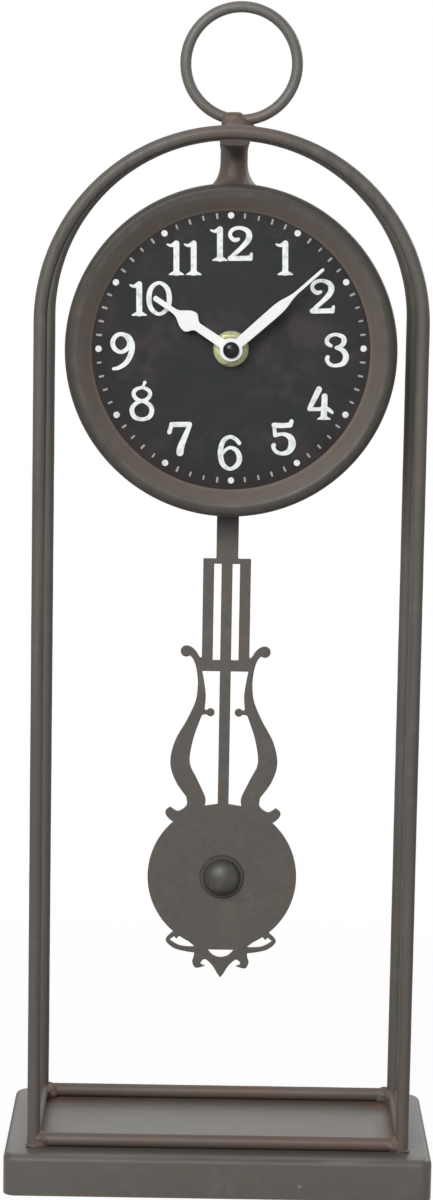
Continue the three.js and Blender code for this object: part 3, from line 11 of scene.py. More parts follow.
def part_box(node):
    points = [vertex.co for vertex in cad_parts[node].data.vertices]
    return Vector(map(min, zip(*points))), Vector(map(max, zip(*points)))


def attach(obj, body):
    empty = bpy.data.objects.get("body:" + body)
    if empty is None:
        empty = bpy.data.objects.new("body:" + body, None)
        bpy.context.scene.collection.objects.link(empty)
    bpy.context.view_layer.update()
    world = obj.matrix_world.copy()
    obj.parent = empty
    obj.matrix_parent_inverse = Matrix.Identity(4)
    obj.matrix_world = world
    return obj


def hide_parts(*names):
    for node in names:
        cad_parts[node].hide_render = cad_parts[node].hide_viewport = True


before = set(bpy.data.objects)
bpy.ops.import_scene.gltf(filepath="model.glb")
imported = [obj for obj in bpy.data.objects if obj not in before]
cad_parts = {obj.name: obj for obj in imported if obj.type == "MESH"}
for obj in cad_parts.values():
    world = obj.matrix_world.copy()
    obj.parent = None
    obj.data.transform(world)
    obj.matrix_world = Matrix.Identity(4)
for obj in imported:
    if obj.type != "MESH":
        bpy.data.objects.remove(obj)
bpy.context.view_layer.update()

bl_info = {
    "name": "Lyre pendulum table clock",
    "version": (1, 0, 0),
    "blender": (4, 5, 0),
    "location": "3D View > Sidebar > Clock",
    "description": "Dresses the packed table clock with its finished pieces, materials, light and camera",
    "category": "Object",
}

MM = 0.001


def limits(node):
    """Lowest and highest corner of a node, in millimetres."""
    low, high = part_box(node)
    return low / MM, high / MM


def middle(node):
    """Middle of a node, in metres."""
    low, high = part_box(node)
    return (low + high) / 2


# Places on the packed model, in metres.
DIAL = middle("hand_cap")
BOB = middle("bob_boss")
RAIL = middle("front_rail").z
SPAN = middle("right_rail").x
SPACING = middle("rear_rail").y
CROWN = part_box("top_bridge")[1].z
# The same places and the pendulum plate's main sizes, in millimetres and degrees.
DIAL_AXIS = (DIAL.x / MM, 0, DIAL.z / MM)
BOB_AXIS = (BOB.x / MM, 0, BOB.z / MM)
BOB_HEIGHT = BOB.z / MM
DISC = 28.9
DISC_FOOT = BOB_HEIGHT - DISC
LYRE_HEIGHT = 52.2
HORN_ANGLE = 48.4
LOOP_ANGLE = -49.9
GRID_TOP = BOB_HEIGHT + 124.9
GRID_FOOT = BOB_HEIGHT + 85.4
# Radii of the hands' round middles and of their bores.
HUB = 4.3
HOUR_BORE = 2.65
MINUTE_BORE = 1.8


def srgb(red, green, blue):
    """Linear colour from display values of 0 to 255."""
    def linear(value):
        share = value / 255
        return share / 12.92 if share <= 0.04045 else ((share + 0.055) / 1.055) ** 2.4

    return (linear(red), linear(green), linear(blue), 1.0)


def length(title, text, millimetres):
    return FloatProperty(name=title, description=text, default=millimetres * MM, subtype="DISTANCE",
                         unit="LENGTH", precision=5)


def rotation(title, text, radians):
    return FloatProperty(name=title, description=text, default=radians, subtype="ANGLE", unit="ROTATION")


def wattage(title, text, watts):
    return FloatProperty(name=title, description=text, default=watts, unit="POWER")


def colour(title, text, red, green, blue):
    return FloatVectorProperty(name=title, description=text, size=4, subtype="COLOR", min=0, max=1,
                               default=srgb(red, green, blue))


class FrameLook(bpy.types.PropertyGroup):
    """Sizes and colours of the base, the rods and their welds."""

    rod_sides: IntProperty(name="Rod sides", description="Facets round a rod", default=32, min=8)
    rod_radius: length("Rod radius", "Half the thickness of the arches and rails", 2.5)
    ring_rod: length("Ring rod radius", "Half the thickness of the ring on top", 2.1)
    uneven: length("Unevenness", "How far the hand-bent rods depart from true", 0.07)
    base_edge: length("Base edge", "Radius of the base's upper edge", 2.6)
    base_corner: length("Base corner", "Radius of the base's corners in plan", 4.8)
    base_sheet: length("Base sheet", "Thickness of the base's sheet", 1.2)
    steel: colour("Steel", "Main grey of the patinated steel", 94, 91, 86)
    steel_dark: colour("Dark steel", "Darker streaks of the patina", 74, 71, 66)
    steel_pale: colour("Pale steel", "Rubbed places and edges", 122, 118, 111)
    steel_brown: colour("Brown steel", "Heat and rust tints by the welds", 99, 87, 80)
    rail_brown: colour("Rail brown", "Rust tint of the rails and feet", 100, 84, 76)
    weld_brown: colour("Weld brown", "Brazed brown of the crown and the welds", 97, 83, 75)
    # Painted shade: the bar's colour is darkened for the arches' shadow over it.
    bridge_brown: colour("Bridge brown", "Dark brown of the bar between the arches", 60, 51, 46)
    ring_grey: colour("Ring grey", "Paler grey of the handled ring", 99, 97, 93)
    base_grey: colour("Base grey", "Main grey of the base's sheet", 86, 82, 76)


class DialLook(bpy.types.PropertyGroup):
    """Sizes and colours of the dial, its print and the hands."""

    figure_height: length("Figure height", "Height of the hour numbers", 13)
    figure_radius: length("Figure radius", "Circle that the hour numbers stand on", 39.4)
    print_height: length("Print height", "Thickness of the dial's paint", 0.06)
    track_radius: length("Track radius", "Circle of the minute marks", 49.9)
    dot_radius: length("Dot radius", "Radius of the five-minute dots", 1.2)
    tick_width: length("Tick width", "Width of a minute tick", 0.72)
    tick_length: length("Tick length", "Length of a minute tick", 1.9)
    turn: rotation("Print turn", "Turn of the print in its drum", math.radians(0.96))
    hour: IntProperty(name="Hour", description="Hour that the hands show", default=10, min=1, max=12)
    minute: FloatProperty(name="Minute", description="Minutes past the hour", default=8.15, min=0, max=60)
    black: colour("Dial black", "Charcoal ground of the dial", 49, 48, 49)
    white: colour("Print white", "White of the numbers and marks", 252, 255, 255)
    hand_white: colour("Hand white", "White of the hands", 252, 254, 253)
    brass: colour("Pale brass", "Nut and washer under the hands", 174, 174, 134)


class PendulumLook(bpy.types.PropertyGroup):
    """Sizes and colours of the pierced pendulum."""

    edge: length("Edge", "Rounding of the plate's edges", 0.22)
    boss_radius: length("Boss radius", "Radius of the domed boss", 7.25)
    boss_crown: length("Boss crown", "Height of the boss's dome", 5.2)
    steel: colour("Pendulum steel", "Main grey-brown of the plate", 88, 83, 79)
    brown: colour("Pendulum brown", "Brown clouds in the plate's patina", 94, 83, 75)
    boss: colour("Boss steel", "Darker grey of the rubbed boss", 56, 54, 50)


class StageLook(bpy.types.PropertyGroup):
    """Light level and camera of the studio."""

    key: wattage("Key", "Power of the light above in front, on the left", 28.5)
    top: wattage("Top", "Power of the overhead light", 2)
    fill: wattage("Fill", "Power of the front light", 2.5)
    rear: wattage("Rear", "Power of the light behind on the right", 12)
    ambient: FloatProperty(name="Ambient", description="Light from all round", default=0.1, min=0)
    camera_place: FloatVectorProperty(name="Camera place", description="Where the camera stands", size=3,
                                      default=(-0.00608, -1.2282, 0.4148), subtype="TRANSLATION",
                                      unit="LENGTH")
    yaw: rotation("Yaw", "Camera turn to the right", 0.0018)
    pitch: rotation("Pitch", "Camera tilt upwards", -0.1539)
    roll: rotation("Roll", "Camera roll", 0.0167)
    focal: FloatProperty(name="Focal length", description="In image heights of the photograph",
                         default=2.698)


class Sock:
    """A node's output; arithmetic on it adds Math nodes."""

    def __init__(self, graph, socket):
        self.graph = graph
        self.socket = socket

    def twin(self, name):
        return Sock(self.graph, self.socket.node.outputs[name])

    def math(self, operation, first, second=0.0):
        return self.graph.node("ShaderNodeMath", {"operation": operation}, {0: first, 1: second})

    def __add__(self, other):
        return self.math("ADD", self, other)

    __radd__ = __add__

    def __sub__(self, other):
        return self.math("SUBTRACT", self, other)

    def __rsub__(self, other):
        return self.math("SUBTRACT", other, self)

    def __mul__(self, other):
        return self.math("MULTIPLY", self, other)

    __rmul__ = __mul__

    def __mod__(self, other):
        return self.math("MODULO", self, other)

    def __abs__(self):
        return self.math("ABSOLUTE", self)

    def sine(self):
        return self.math("SINE", self)

    def above(self, other):
        return self.math("GREATER_THAN", self, other)

    def below(self, other):
        return self.math("LESS_THAN", self, other)


class Graph:
    """A node tree that is filled in through one method."""

    def __init__(self, tree):
        self.tree = tree

    def node(self, kind, settings=None, sockets=None, out=0):
        made = self.tree.nodes.new(kind)
        for key, value in (settings or {}).items():
            setattr(made, key, value)
        for key, value in (sockets or {}).items():
            self.feed(made.inputs[key], value)
        return Sock(self, made.outputs[out])

    def feed(self, socket, value):
        if isinstance(value, Sock):
            self.tree.links.new(value.socket, socket)
        else:
            socket.default_value = value


class Finish(Graph):
    """A procedural material on Object coordinates."""

    def __init__(self, name):
        self.material = bpy.data.materials.new(name)
        self.material.use_nodes = True
        super().__init__(self.material.node_tree)
        self.shader = self.tree.nodes["Principled BSDF"]
        self.place = self.node("ShaderNodeTexCoord", out="Object")

    def axis(self, name):
        return self.node("ShaderNodeSeparateXYZ", sockets={0: self.place}, out=name)

    def noise(self, scale, detail, roughness, stretch=(1, 1, 1), shift=0.0):
        moved = self.node("ShaderNodeMapping", sockets={
            "Vector": self.place, "Location": (shift, shift, shift), "Scale": stretch})
        return self.node("ShaderNodeTexNoise", sockets={
            "Vector": moved, "Scale": scale, "Detail": detail, "Roughness": roughness})

    def band(self, value, low, high):
        return self.node("ShaderNodeMapRange", {"interpolation_type": "SMOOTHSTEP"}, {
            "Value": value, "From Min": low, "From Max": high})

    def mix(self, share, first, second):
        return self.node("ShaderNodeMix", {"data_type": "RGBA"}, {0: share, 6: first, 7: second}, out=2)

    def layers(self, tint, *rows):
        """Colours laid over a first one, each by a share, where a value goes from one level to another."""
        for value, start, end, share, over in rows:
            tint = self.mix(self.band(value, start, end) * share, tint, over)
        return tint

    def distance(self, point):
        return self.node("ShaderNodeVectorMath", {"operation": "DISTANCE"}, {0: self.place, 1: point},
                         out="Value")

    def attribute(self, name):
        return self.node("ShaderNodeAttribute", {"attribute_name": name}, out="Fac")

    def bump(self, height, strength, depth):
        self.set(Normal=self.node("ShaderNodeBump", sockets={
            "Height": height, "Strength": strength, "Distance": depth}))

    def set(self, **values):
        for name, value in values.items():
            self.feed(self.shader.inputs[name.replace("_", " ")], value)
        return self.material


def aged_steel(look, name, steel=None, dark=None, pale=None, brown=None, browning=0.3,
               stretch=(1, 1, 0.05), rings=None, inner=None, dark_spot=None, gloss=0.3):
    """Satin patinated steel: faint streaks and clouds, brown tints by the welds, pale rubbed edges.

    It has the frame's tones unless others are given. Three places can be marked: turned rings round a
    point, with a painted shade ring just outside the boss and a painted shadow darkening the strap
    above them; the bezel's bare slope inside a radius, with a paler rolled edge that is partly polished
    metal and partly a painted highlight; and a dark spot round a point.
    """
    known = bpy.data.materials.get(name)
    if known:
        return known
    steel = steel or look.steel
    dark = dark or look.steel_dark
    pale = pale or look.steel_pale
    brown = brown or look.steel_brown
    finish = Finish(name)
    height = finish.axis("Z")
    broad = finish.noise(24, 4, 0.6)
    cloud = finish.noise(105, 5, 0.65, shift=3.1)
    streak = finish.noise(420, 3, 0.55, stretch=stretch, shift=1.7)
    grain = finish.noise(900, 4, 0.62)
    foot = 1 - finish.band(abs(height - RAIL), 0.004, 0.034)
    crown = finish.band(height, CROWN - 0.017, CROWN - 0.01)
    crown = crown * (1 - finish.band(height, CROWN + 0.004, CROWN + 0.012))
    crown = crown * (1 - finish.band(abs(finish.axis("X")), 0.006, 0.034))
    heat = finish.band(broad, 0.48, 0.7) * browning + finish.band(cloud, 0.52, 0.74) * browning * 0.6
    tint = finish.layers(steel, (streak, 0.38, 0.68, 0.4, dark), (cloud, 0.5, 0.72, 0.22, pale))
    heat = heat + foot * 0.4 + crown * 0.6
    if inner:
        across = finish.distance((DIAL.x, -0.024, DIAL.z))
        reach = across + (cloud - 0.5) * 0.004
        heat = heat + (1 - finish.band(reach, inner - 0.001, inner + 0.0015)) * 0.55
        tint = finish.layers(tint, (reach, inner, inner + 0.003, 0.8, srgb(58, 54, 50)),
                             # Partly polished metal, partly painted highlight: the rolled inner edge is
                             # paler.
                             (across, 0.0533, 0.0526, 0.6, pale))
    tint = finish.layers(finish.mix(heat, tint, brown), (grain, 0.6, 0.74, 0.25, dark))
    worn = finish.attribute("wear_and_edge_shade") * finish.band(cloud, 0.3, 0.6)
    tint = finish.mix(worn * 0.55, tint, pale)
    relief = grain * 0.35 + cloud * 0.65
    # A dark spot round a point, darkest at its middle.
    if dark_spot:
        reach = finish.distance(dark_spot) + (cloud - 0.5) * 0.004
        tint = finish.layers(tint, (reach, 0.0042, 0.0006, 0.85, srgb(40, 33, 29)))
    if rings:
        reach = finish.distance(rings)
        marks = (reach * 2900).sine()
        on_disc = 1 - finish.band(reach, 0.0272, 0.0284)
        strap = GRID_TOP * MM
        tint = finish.layers(tint, (marks, -0.2, 1, on_disc * 0.08, dark),
                             # Painted shade: a dark ring where the boss's flange meets the plate.
                             (abs(reach - 0.0083), 0.0008, 0.0002, 0.6, srgb(46, 42, 39)),
                             # Painted shadow: the strap darkens towards its top, where the drum's shadow
                             # falls on it.
                             (height, strap + 0.002, strap + 0.017, 0.8, srgb(38, 35, 32)))
        relief = relief + marks * on_disc * 0.07
    finish.bump(relief, 0.3, 0.00014)
    return finish.set(Base_Color=tint, Roughness=0.4 + grain * 0.16 - worn * 0.1, Metallic=0.1,
                      Specular_IOR_Level=gloss)


def rail_steel(look):
    return aged_steel(look, "rail_steel", brown=look.rail_brown, browning=0.8, stretch=(0.05, 0.05, 1),
                      gloss=0.2)


def weld_steel(look):
    return aged_steel(look, "weld_steel", steel=look.weld_brown, dark=look.steel_brown,
                      brown=look.weld_brown, browning=0.6, gloss=0.15)


def base_steel(look):
    """Rubbed sheet of the base: clouded grey with brown places, a pale scuffed edge and painted shade that
    darkens the rounded edge.
    """
    finish = Finish("base_steel")
    broad = finish.noise(17, 4, 0.6, shift=5.2)
    cloud = finish.noise(80, 5, 0.68)
    scuff = finish.noise(260, 3, 0.6, stretch=(0.08, 1, 1), shift=2.4)
    grain = finish.noise(1000, 4, 0.62)
    tint = finish.layers(look.base_grey, (broad, 0.4, 0.66, 0.4, look.steel),
                         (cloud, 0.5, 0.74, 0.2, look.steel_pale), (cloud, 0.5, 0.3, 0.3, look.steel_brown),
                         (grain, 0.58, 0.72, 0.2, look.steel_dark))
    wear_and_edge_shade = finish.attribute("wear_and_edge_shade")
    worn = wear_and_edge_shade * finish.band(scuff, 0.4, 0.62)
    along = finish.axis("X")
    to_side = SPAN - abs(along)
    to_front = SPACING - abs(finish.axis("Y"))
    inside = finish.band(to_side, -0.001, 0.001) * finish.band(to_front, -0.001, 0.001)
    close = 2 - finish.band(to_side, 0.003, 0.02) - finish.band(to_front, 0.003, 0.014)
    rust = inside * close * finish.band(broad * 0.5 + cloud * 0.5, 0.4, 0.56)
    on_top = finish.band(finish.axis("Z"), RAIL - 0.0038, RAIL - 0.003)
    tint = finish.mix(rust * on_top * 0.7, tint, srgb(105, 84, 72))
    rubbed = finish.band(along, 0.02, 0.03) * (1 - finish.band(along, 0.05, 0.062)) * wear_and_edge_shade
    # Painted shade: the rounded edge is darkened so that its highlight stays dull.
    tint = finish.mix(wear_and_edge_shade * 0.4, tint, srgb(50, 47, 44))
    tint = finish.mix(worn * 0.2 + rubbed * finish.band(scuff, 0.45, 0.6) * 0.4, tint, look.steel_pale)
    speck = finish.distance((0.0314, -0.0435, 0.0054))
    tint = finish.layers(tint, (speck, 0.001, 0.0003, 0.5, srgb(150, 144, 136)))
    finish.bump(grain * 0.4 + cloud * 0.6, 0.3, 0.00016)
    return finish.set(Base_Color=tint, Roughness=0.34 + grain * 0.14 + wear_and_edge_shade * 0.3, Metallic=0.1,
                      Specular_IOR_Level=0.4, Coat_Weight=on_top * 0.42, Coat_Roughness=0.3)


def dial_paint(look):
    """Matt charcoal with faint mottling, browner towards the bezel as painted shade and painted reflection
    of the bezel's brown.
    """
    finish = Finish("dial_charcoal")
    mottle = finish.noise(110, 5, 0.62)
    warm = finish.noise(60, 4, 0.6, shift=4)
    fine = finish.noise(700, 3, 0.6)
    reach = finish.distance((DIAL.x, -0.009, DIAL.z))
    tint = finish.layers(look.black, (mottle, 0.35, 0.65, 1, srgb(42, 45, 46)),
                         (warm, 0.48, 0.66, 0.8, srgb(67, 60, 59)),
                         # Painted shade and reflection: the rim goes brown where the bezel shades it and
                         # reflects onto it.
                         (reach, 0.046, 0.055, 0.8, srgb(52, 44, 41)),
                         (fine, 0.6, 0.75, 0.25, srgb(46, 46, 47)))
    finish.bump(fine, 0.2, 0.00008)
    return finish.set(Base_Color=tint, Roughness=0.78 + fine * 0.12, Specular_IOR_Level=0.3)


def painted_white(name, white, worn):
    """Brushed-on white with thin places and a slight brush grain."""
    finish = Finish(name)
    thin = finish.noise(420, 4, 0.6)
    fine = finish.noise(1600, 3, 0.6)
    tint = finish.layers(white, (thin, 0.44, 0.68, worn, srgb(186, 195, 199)))
    tint = finish.mix(finish.attribute("faint"), tint, srgb(176, 178, 174))
    finish.bump(fine * 0.6 + thin * 0.4, 0.2, 0.00006)
    return finish.set(Base_Color=tint, Roughness=0.55 + fine * 0.15, Specular_IOR_Level=0.35)


def turned_brass(brass):
    """Pale brass with fine turning marks round the dial's centre."""
    finish = Finish("pale_brass")
    reach = finish.distance((DIAL.x, -0.01, DIAL.z))
    marks = (reach * 9000).sine()
    dull = finish.noise(650, 4, 0.6)
    tint = finish.layers(brass, (dull, 0.45, 0.7, 0.6, srgb(128, 122, 72)),
                         (marks, 0.2, 1, 0.25, srgb(205, 202, 160)))
    finish.bump(marks, 0.12, 0.00005)
    return finish.set(Base_Color=tint, Roughness=0.38 + dull * 0.2, Metallic=0.35)


def plain_finish(name, main, second, scale, roughness, metal=0.0, gloss=0.5, stretch=(1, 1, 1)):
    """A moulded or metal surface: two close tones, a fine grain and uneven gloss."""
    finish = Finish(name)
    cloud = finish.noise(scale, 4, 0.6, stretch=stretch)
    grain = finish.noise(scale * 9, 3, 0.6, stretch=stretch)
    tint = finish.mix(finish.band(cloud, 0.35, 0.68), main, second)
    finish.bump(grain * 0.6 + cloud * 0.4, 0.25, 0.00008)
    return finish.set(Base_Color=tint, Roughness=roughness + grain * 0.16 - 0.08, Metallic=metal,
                      Specular_IOR_Level=gloss)


def wound_copper():
    """Enamelled winding: fine turns across the coil."""
    finish = Finish("copper_winding")
    turns = finish.node("ShaderNodeTexWave", {"wave_type": "BANDS", "bands_direction": "X"}, {
        "Vector": finish.place, "Scale": 420, "Distortion": 0.6})
    tint = finish.mix(turns, srgb(150, 82, 40), srgb(196, 116, 62))
    finish.bump(turns, 0.5, 0.0001)
    return finish.set(Base_Color=tint, Roughness=0.3 + turns * 0.15, Metallic=0.75)


def cell_jacket():
    """Plain two-tone battery jacket with bare ends."""
    finish = Finish("cell_jacket")
    along = finish.axis("X")
    ends = finish.band(abs(along), 0.0238, 0.0241)
    scratch = finish.noise(700, 3, 0.6, stretch=(0.05, 1, 1))
    tint = finish.layers(srgb(58, 66, 76), (along, 0.0128, 0.0131, 1, srgb(176, 122, 64)))
    tint = finish.mix(ends, tint, srgb(190, 190, 186))
    tint = finish.layers(tint, (scratch, 0.6, 0.75, 0.25, srgb(150, 150, 150)))
    finish.bump(scratch, 0.08, 0.00005)
    return finish.set(Base_Color=tint, Roughness=0.3 + scratch * 0.12, Metallic=0.35 + ends * 0.5)


def clear_glass():
    """Flat clear lens: nearly all light passes, a faint sheen stays."""
    finish = Finish("lens_glass")
    smear = finish.noise(60, 3, 0.5)
    tint = finish.mix(smear, srgb(30, 32, 32), srgb(44, 46, 46))
    finish.material.surface_render_method = "BLENDED"
    return finish.set(Base_Color=tint, Roughness=0.03 + smear * 0.03, Alpha=0.03, Specular_IOR_Level=0.3)


def link(name, data):
    """A new object of the scene."""
    made = bpy.data.objects.new(name, data)
    bpy.context.scene.collection.objects.link(made)
    return made


def shade(mesh):
    """Smooth shading that breaks at sharp edges."""
    sharpest = 0.6
    work = bmesh.new()
    work.from_mesh(mesh)
    for face in work.faces:
        face.smooth = True
    for edge in work.edges:
        edge.smooth = len(edge.link_faces) != 2 or edge.calc_face_angle(0) < sharpest
    work.to_mesh(mesh)
    work.free()


def piece(name, mesh, body, slot, material, *nodes):
    """A finished mesh becomes a piece of the clock and stands for the named nodes."""
    paint(mesh, material)
    shade(mesh)
    made = link(name, mesh)
    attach(made, body)
    if nodes:
        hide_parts(*nodes)
    return made


def mesh_of(name, corners, faces):
    """A mesh in metres from corners in millimetres, merged and facing outwards."""
    mesh = bpy.data.meshes.new(name)
    mesh.from_pydata([Vector(corner) * MM for corner in corners], [], faces)
    work = bmesh.new()
    work.from_mesh(mesh)
    bmesh.ops.remove_doubles(work, verts=work.verts, dist=1e-7)
    bmesh.ops.recalc_face_normals(work, faces=work.faces)
    work.to_mesh(mesh)
    work.free()
    return mesh


def taken(mesh):
    """Corners in millimetres and faces of a mesh."""
    return [vertex.co / MM for vertex in mesh.vertices], [list(face.vertices) for face in mesh.polygons]


def skin(rows, count, start=0, capped=False):
    """Faces between neighbouring rings of corners, with flat ends if they are capped."""
    faces = []
    for row in range(rows - 1):
        near = start + row * count
        for index in range(count):
            after = (index + 1) % count
            faces.append([near + index, near + after, near + count + after, near + count + index])
    if capped:
        last = start + (rows - 1) * count
        faces += [list(range(start, start + count)), list(range(last, last + count))]
    return faces


def rub(mesh, values):
    """Stores how far each corner of a mesh is rubbed bare; on the base the same value also darkens the
    rounded edge as painted shade.
    """
    mesh.attributes.new("wear_and_edge_shade", "FLOAT", "POINT").data.foreach_set("value", values)


def baked(made):
    """The evaluated mesh of an object, as a plain mesh; the object goes."""
    graph = bpy.context.evaluated_depsgraph_get()
    mesh = bpy.data.meshes.new_from_object(made.evaluated_get(graph), depsgraph=graph)
    bpy.data.objects.remove(made)
    return mesh


def paint(mesh, material):
    """One finish for the whole mesh."""
    mesh.materials.clear()
    mesh.materials.append(material)


def keep_nodes(material, *nodes):
    """CAD nodes whose shape is right get their finish."""
    for node in nodes:
        paint(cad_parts[node].data, material)


def softened(node, width, name, body, slot, material):
    """A copy of a node with its hard edges rounded, in place of the node."""
    work = bmesh.new()
    work.from_mesh(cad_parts[node].data)
    bmesh.ops.remove_doubles(work, verts=work.verts, dist=1e-6)
    bmesh.ops.dissolve_limit(work, angle_limit=0.02, verts=work.verts, edges=work.edges)
    mesh = bpy.data.meshes.new(name)
    work.to_mesh(mesh)
    work.free()
    made = link(name, mesh)
    bevel = made.modifiers.new("edges", "BEVEL")
    bevel.width = width * MM
    bevel.segments = 2
    bevel.limit_method = "ANGLE"
    bevel.angle_limit = 0.7
    bevel.use_clamp_overlap = True
    return piece(name, baked(made), body, slot, material, node)


def lathe(profile, steps, place, toward, closed=False):
    """Corners and faces of a profile of (radius, along) turned round an axis; radius 0 makes a pole."""
    toward = Vector(toward)
    across = toward.orthogonal().normalized()
    other = toward.cross(across)
    corners = []
    rings = []
    for radius, along in profile:
        heart = Vector(place) + toward * along
        count = 1 if radius < 1e-6 else steps
        rings.append(list(range(len(corners), len(corners) + count)))
        for index in range(count):
            turn = 2 * math.pi * index / steps
            corners.append(heart + (across * math.cos(turn) + other * math.sin(turn)) * radius)
    faces = []
    pairs = list(zip(rings, rings[1:] + rings[:1]))
    for first, second in pairs if closed else pairs[:-1]:
        for index in range(steps):
            after = (index + 1) % steps
            loop = [first[index % len(first)], first[after % len(first)], second[after % len(second)],
                    second[index % len(second)]]
            loop = list(dict.fromkeys(loop))
            if len(loop) > 2:
                faces.append(loop)
    return corners, faces


def turned(name, profile, steps, place, closed=False):
    """Mesh of a profile turned round a line from front to back."""
    return mesh_of(name, *lathe(profile, steps, place, (0, 1, 0), closed))


def arc(centre, across, up, start, end, steps):
    """Points of an elliptical arc; angles in turns of a half circle."""
    points = []
    for index in range(steps + 1):
        turn = math.pi * (start + (end - start) * index / steps)
        points.append((centre[0] + across * math.cos(turn), centre[1] + up * math.sin(turn)))
    return points


def rounded(half_x, half_y, radius, steps):
    """Outline of a rectangle about the origin with rounded corners."""
    points = []
    for quarter, (x, y) in enumerate(((1, 1), (-1, 1), (-1, -1), (1, -1))):
        heart = (x * (half_x - radius), y * (half_y - radius))
        points.extend(arc(heart, radius, radius, quarter / 2, (quarter + 1) / 2, steps))
    return points


def bend(first, pull, last):
    """Quadratic curve without its first point."""
    steps = 14
    points = []
    for index in range(1, steps + 1):
        t = index / steps
        points.append(tuple((1 - t) ** 2 * a + 2 * t * (1 - t) * b + t * t * c
                            for a, b, c in zip(first, pull, last)))
    return points


def swell(first, last):
    """S-curve without its first point, in line with the hand at both ends."""
    heart = ((first[0] + last[0]) / 2, (first[1] + last[1]) / 2)
    points = bend(first, (first[0], (first[1] + heart[1]) / 2), heart)
    return points + bend(heart, (last[0], (heart[1] + last[1]) / 2), last)


def flowing(points, steps=8, closed=False):
    """Smooth curve through points of any dimension."""
    count = len(points)
    made = []
    for index in range(count if closed else count - 1):
        quad = []
        for offset in (-1, 0, 1, 2):
            at = index + offset
            quad.append(points[at % count] if closed else points[min(max(at, 0), count - 1)])
        for step in range(steps):
            t = step / steps
            made.append(tuple(
                0.5 * (2 * b + (c - a) * t + (2 * a - 5 * b + 4 * c - d) * t * t
                       + (3 * b - a - 3 * c + d) * t ** 3) for a, b, c, d in zip(*quad)))
    if not closed:
        made.append(tuple(points[-1]))
    return made


def follow(points, *places):
    """Goes on from the last point along a smooth curve through more places."""
    points.extend(flowing([points[-1], *places])[1:])


def raised(height, *pairs):
    """Points whose second values count from a height."""
    return [(x, height + z) for x, z in pairs]


def area(loop):
    return 0.5 * sum(a[0] * b[1] - b[0] * a[1] for a, b in zip(loop, loop[1:] + loop[:1]))


def wound(loop, positive):
    """The loop in counter-clockwise order, or in clockwise order."""
    return loop if (area(loop) > 0) == positive else loop[::-1]


def triangulated(loops):
    """Triangles between polygons, each with the polygons that it lies in."""
    corners = [Vector(point) for loop in loops for point in loop]
    faces = []
    start = 0
    for loop in loops:
        faces.append(list(range(start, start + len(loop))))
        start += len(loop)
    made = delaunay_2d_cdt(corners, [], faces, 1, 1e-7)
    return made[0], list(zip(made[2], made[5]))


def encloses(loop, point):
    """True if the polygon goes round the point."""
    inside = False
    for (x, z), (far_x, far_z) in zip(loop, loop[1:] + loop[:1]):
        if (z > point.y) != (far_z > point.y) and point.x < x + (point.y - z) * (far_x - x) / (far_z - z):
            inside = not inside
    return inside


def union(polygons):
    """Outlines round the union of simple polygons, outer ones counter-clockwise and holes clockwise."""
    corners, faces = triangulated([wound(loop, True) for loop in polygons])
    onward = {}
    seen = set()
    for face, inside in faces:
        if inside:
            seen.update(zip(face, face[1:] + face[:1]))
    for first, second in seen:
        if (second, first) not in seen:
            onward[first] = second
    loops = []
    while onward:
        first, at = onward.popitem()
        loop = [first]
        while at != first:
            loop.append(at)
            at = onward.pop(at)
        loops.append([tuple(corners[index]) for index in loop])
    return loops


def inset(loop, width):
    """Outline moved towards its left side by a width, with blunted corners."""
    moved = []
    for before, at, after in zip(loop[-1:] + loop[:-1], loop, loop[1:] + loop[:1]):
        into = (Vector(at) - Vector(before)).normalized()
        out = (Vector(after) - Vector(at)).normalized()
        left = Vector((-into.y - out.y, into.x + out.x))
        left *= width / max(1 + into.dot(out), 0.5)
        moved.append((at[0] + left.x, at[1] + left.y))
    return moved


def sheet(name, loops, front, back, edge):
    """Flat plate with rounded edges from outlines in x and z: an outer one, then any holes."""
    corners = []
    faces = []
    caps = [inset(loop, edge) for loop in loops]
    levels = [(caps, front), (loops, front + edge), (loops, back - edge), (caps, back)]
    for index, loop in enumerate(loops):
        faces += skin(len(levels), len(loop), len(corners))
        for outlines, depth in levels:
            corners.extend((x, depth, z) for x, z in outlines[index])
    flat, faces_between = triangulated([wound(loop, True) for loop in caps])
    triangles = []
    for face, _ in faces_between:
        heart = sum((flat[index] for index in face), Vector((0, 0))) / len(face)
        if sum(encloses(loop, heart) for loop in caps) % 2:
            triangles.append(face)
    for depth in (front, back):
        start = len(corners)
        corners.extend((x, depth, z) for x, z in flat)
        faces.extend([[start + index for index in face] for face in triangles])
    mesh = mesh_of(name, corners, faces)
    inner = edge / 2
    rub(mesh, [float(front + inner < vertex.co.y / MM < back - inner) for vertex in mesh.vertices])
    return mesh


def clean(loop):
    """Outline without repeated points."""
    least = 0.004
    kept = []
    for point in loop:
        if not kept or math.dist(point, kept[-1]) > least:
            kept.append(tuple(point))
    if math.dist(kept[0], kept[-1]) < least:
        kept.pop()
    return kept


def mirrored(loop):
    return [(-x, z) for x, z in reversed(loop)]


def circle(x, z, radius, steps):
    return arc((x, z), radius, radius, 0, 2, steps)[:-1]


# Inputs of the trees that are counted, not measured.
WHOLE_NUMBERS = ("Sides",)


def geometry_tree(name, *numbers):
    """A Geometry Nodes tree with numbers and a material as inputs; its graph and its two end nodes."""
    tree = bpy.data.node_groups.new(name, "GeometryNodeTree")
    tree.interface.new_socket("Geometry", in_out="INPUT", socket_type="NodeSocketGeometry")
    for title in numbers:
        kind = "NodeSocketInt" if title in WHOLE_NUMBERS else "NodeSocketFloat"
        tree.interface.new_socket(title, in_out="INPUT", socket_type=kind)
    tree.interface.new_socket("Material", in_out="INPUT", socket_type="NodeSocketMaterial")
    tree.interface.new_socket("Geometry", in_out="OUTPUT", socket_type="NodeSocketGeometry")
    graph = Graph(tree)
    return graph, graph.node("NodeGroupInput"), tree.nodes.new("NodeGroupOutput")


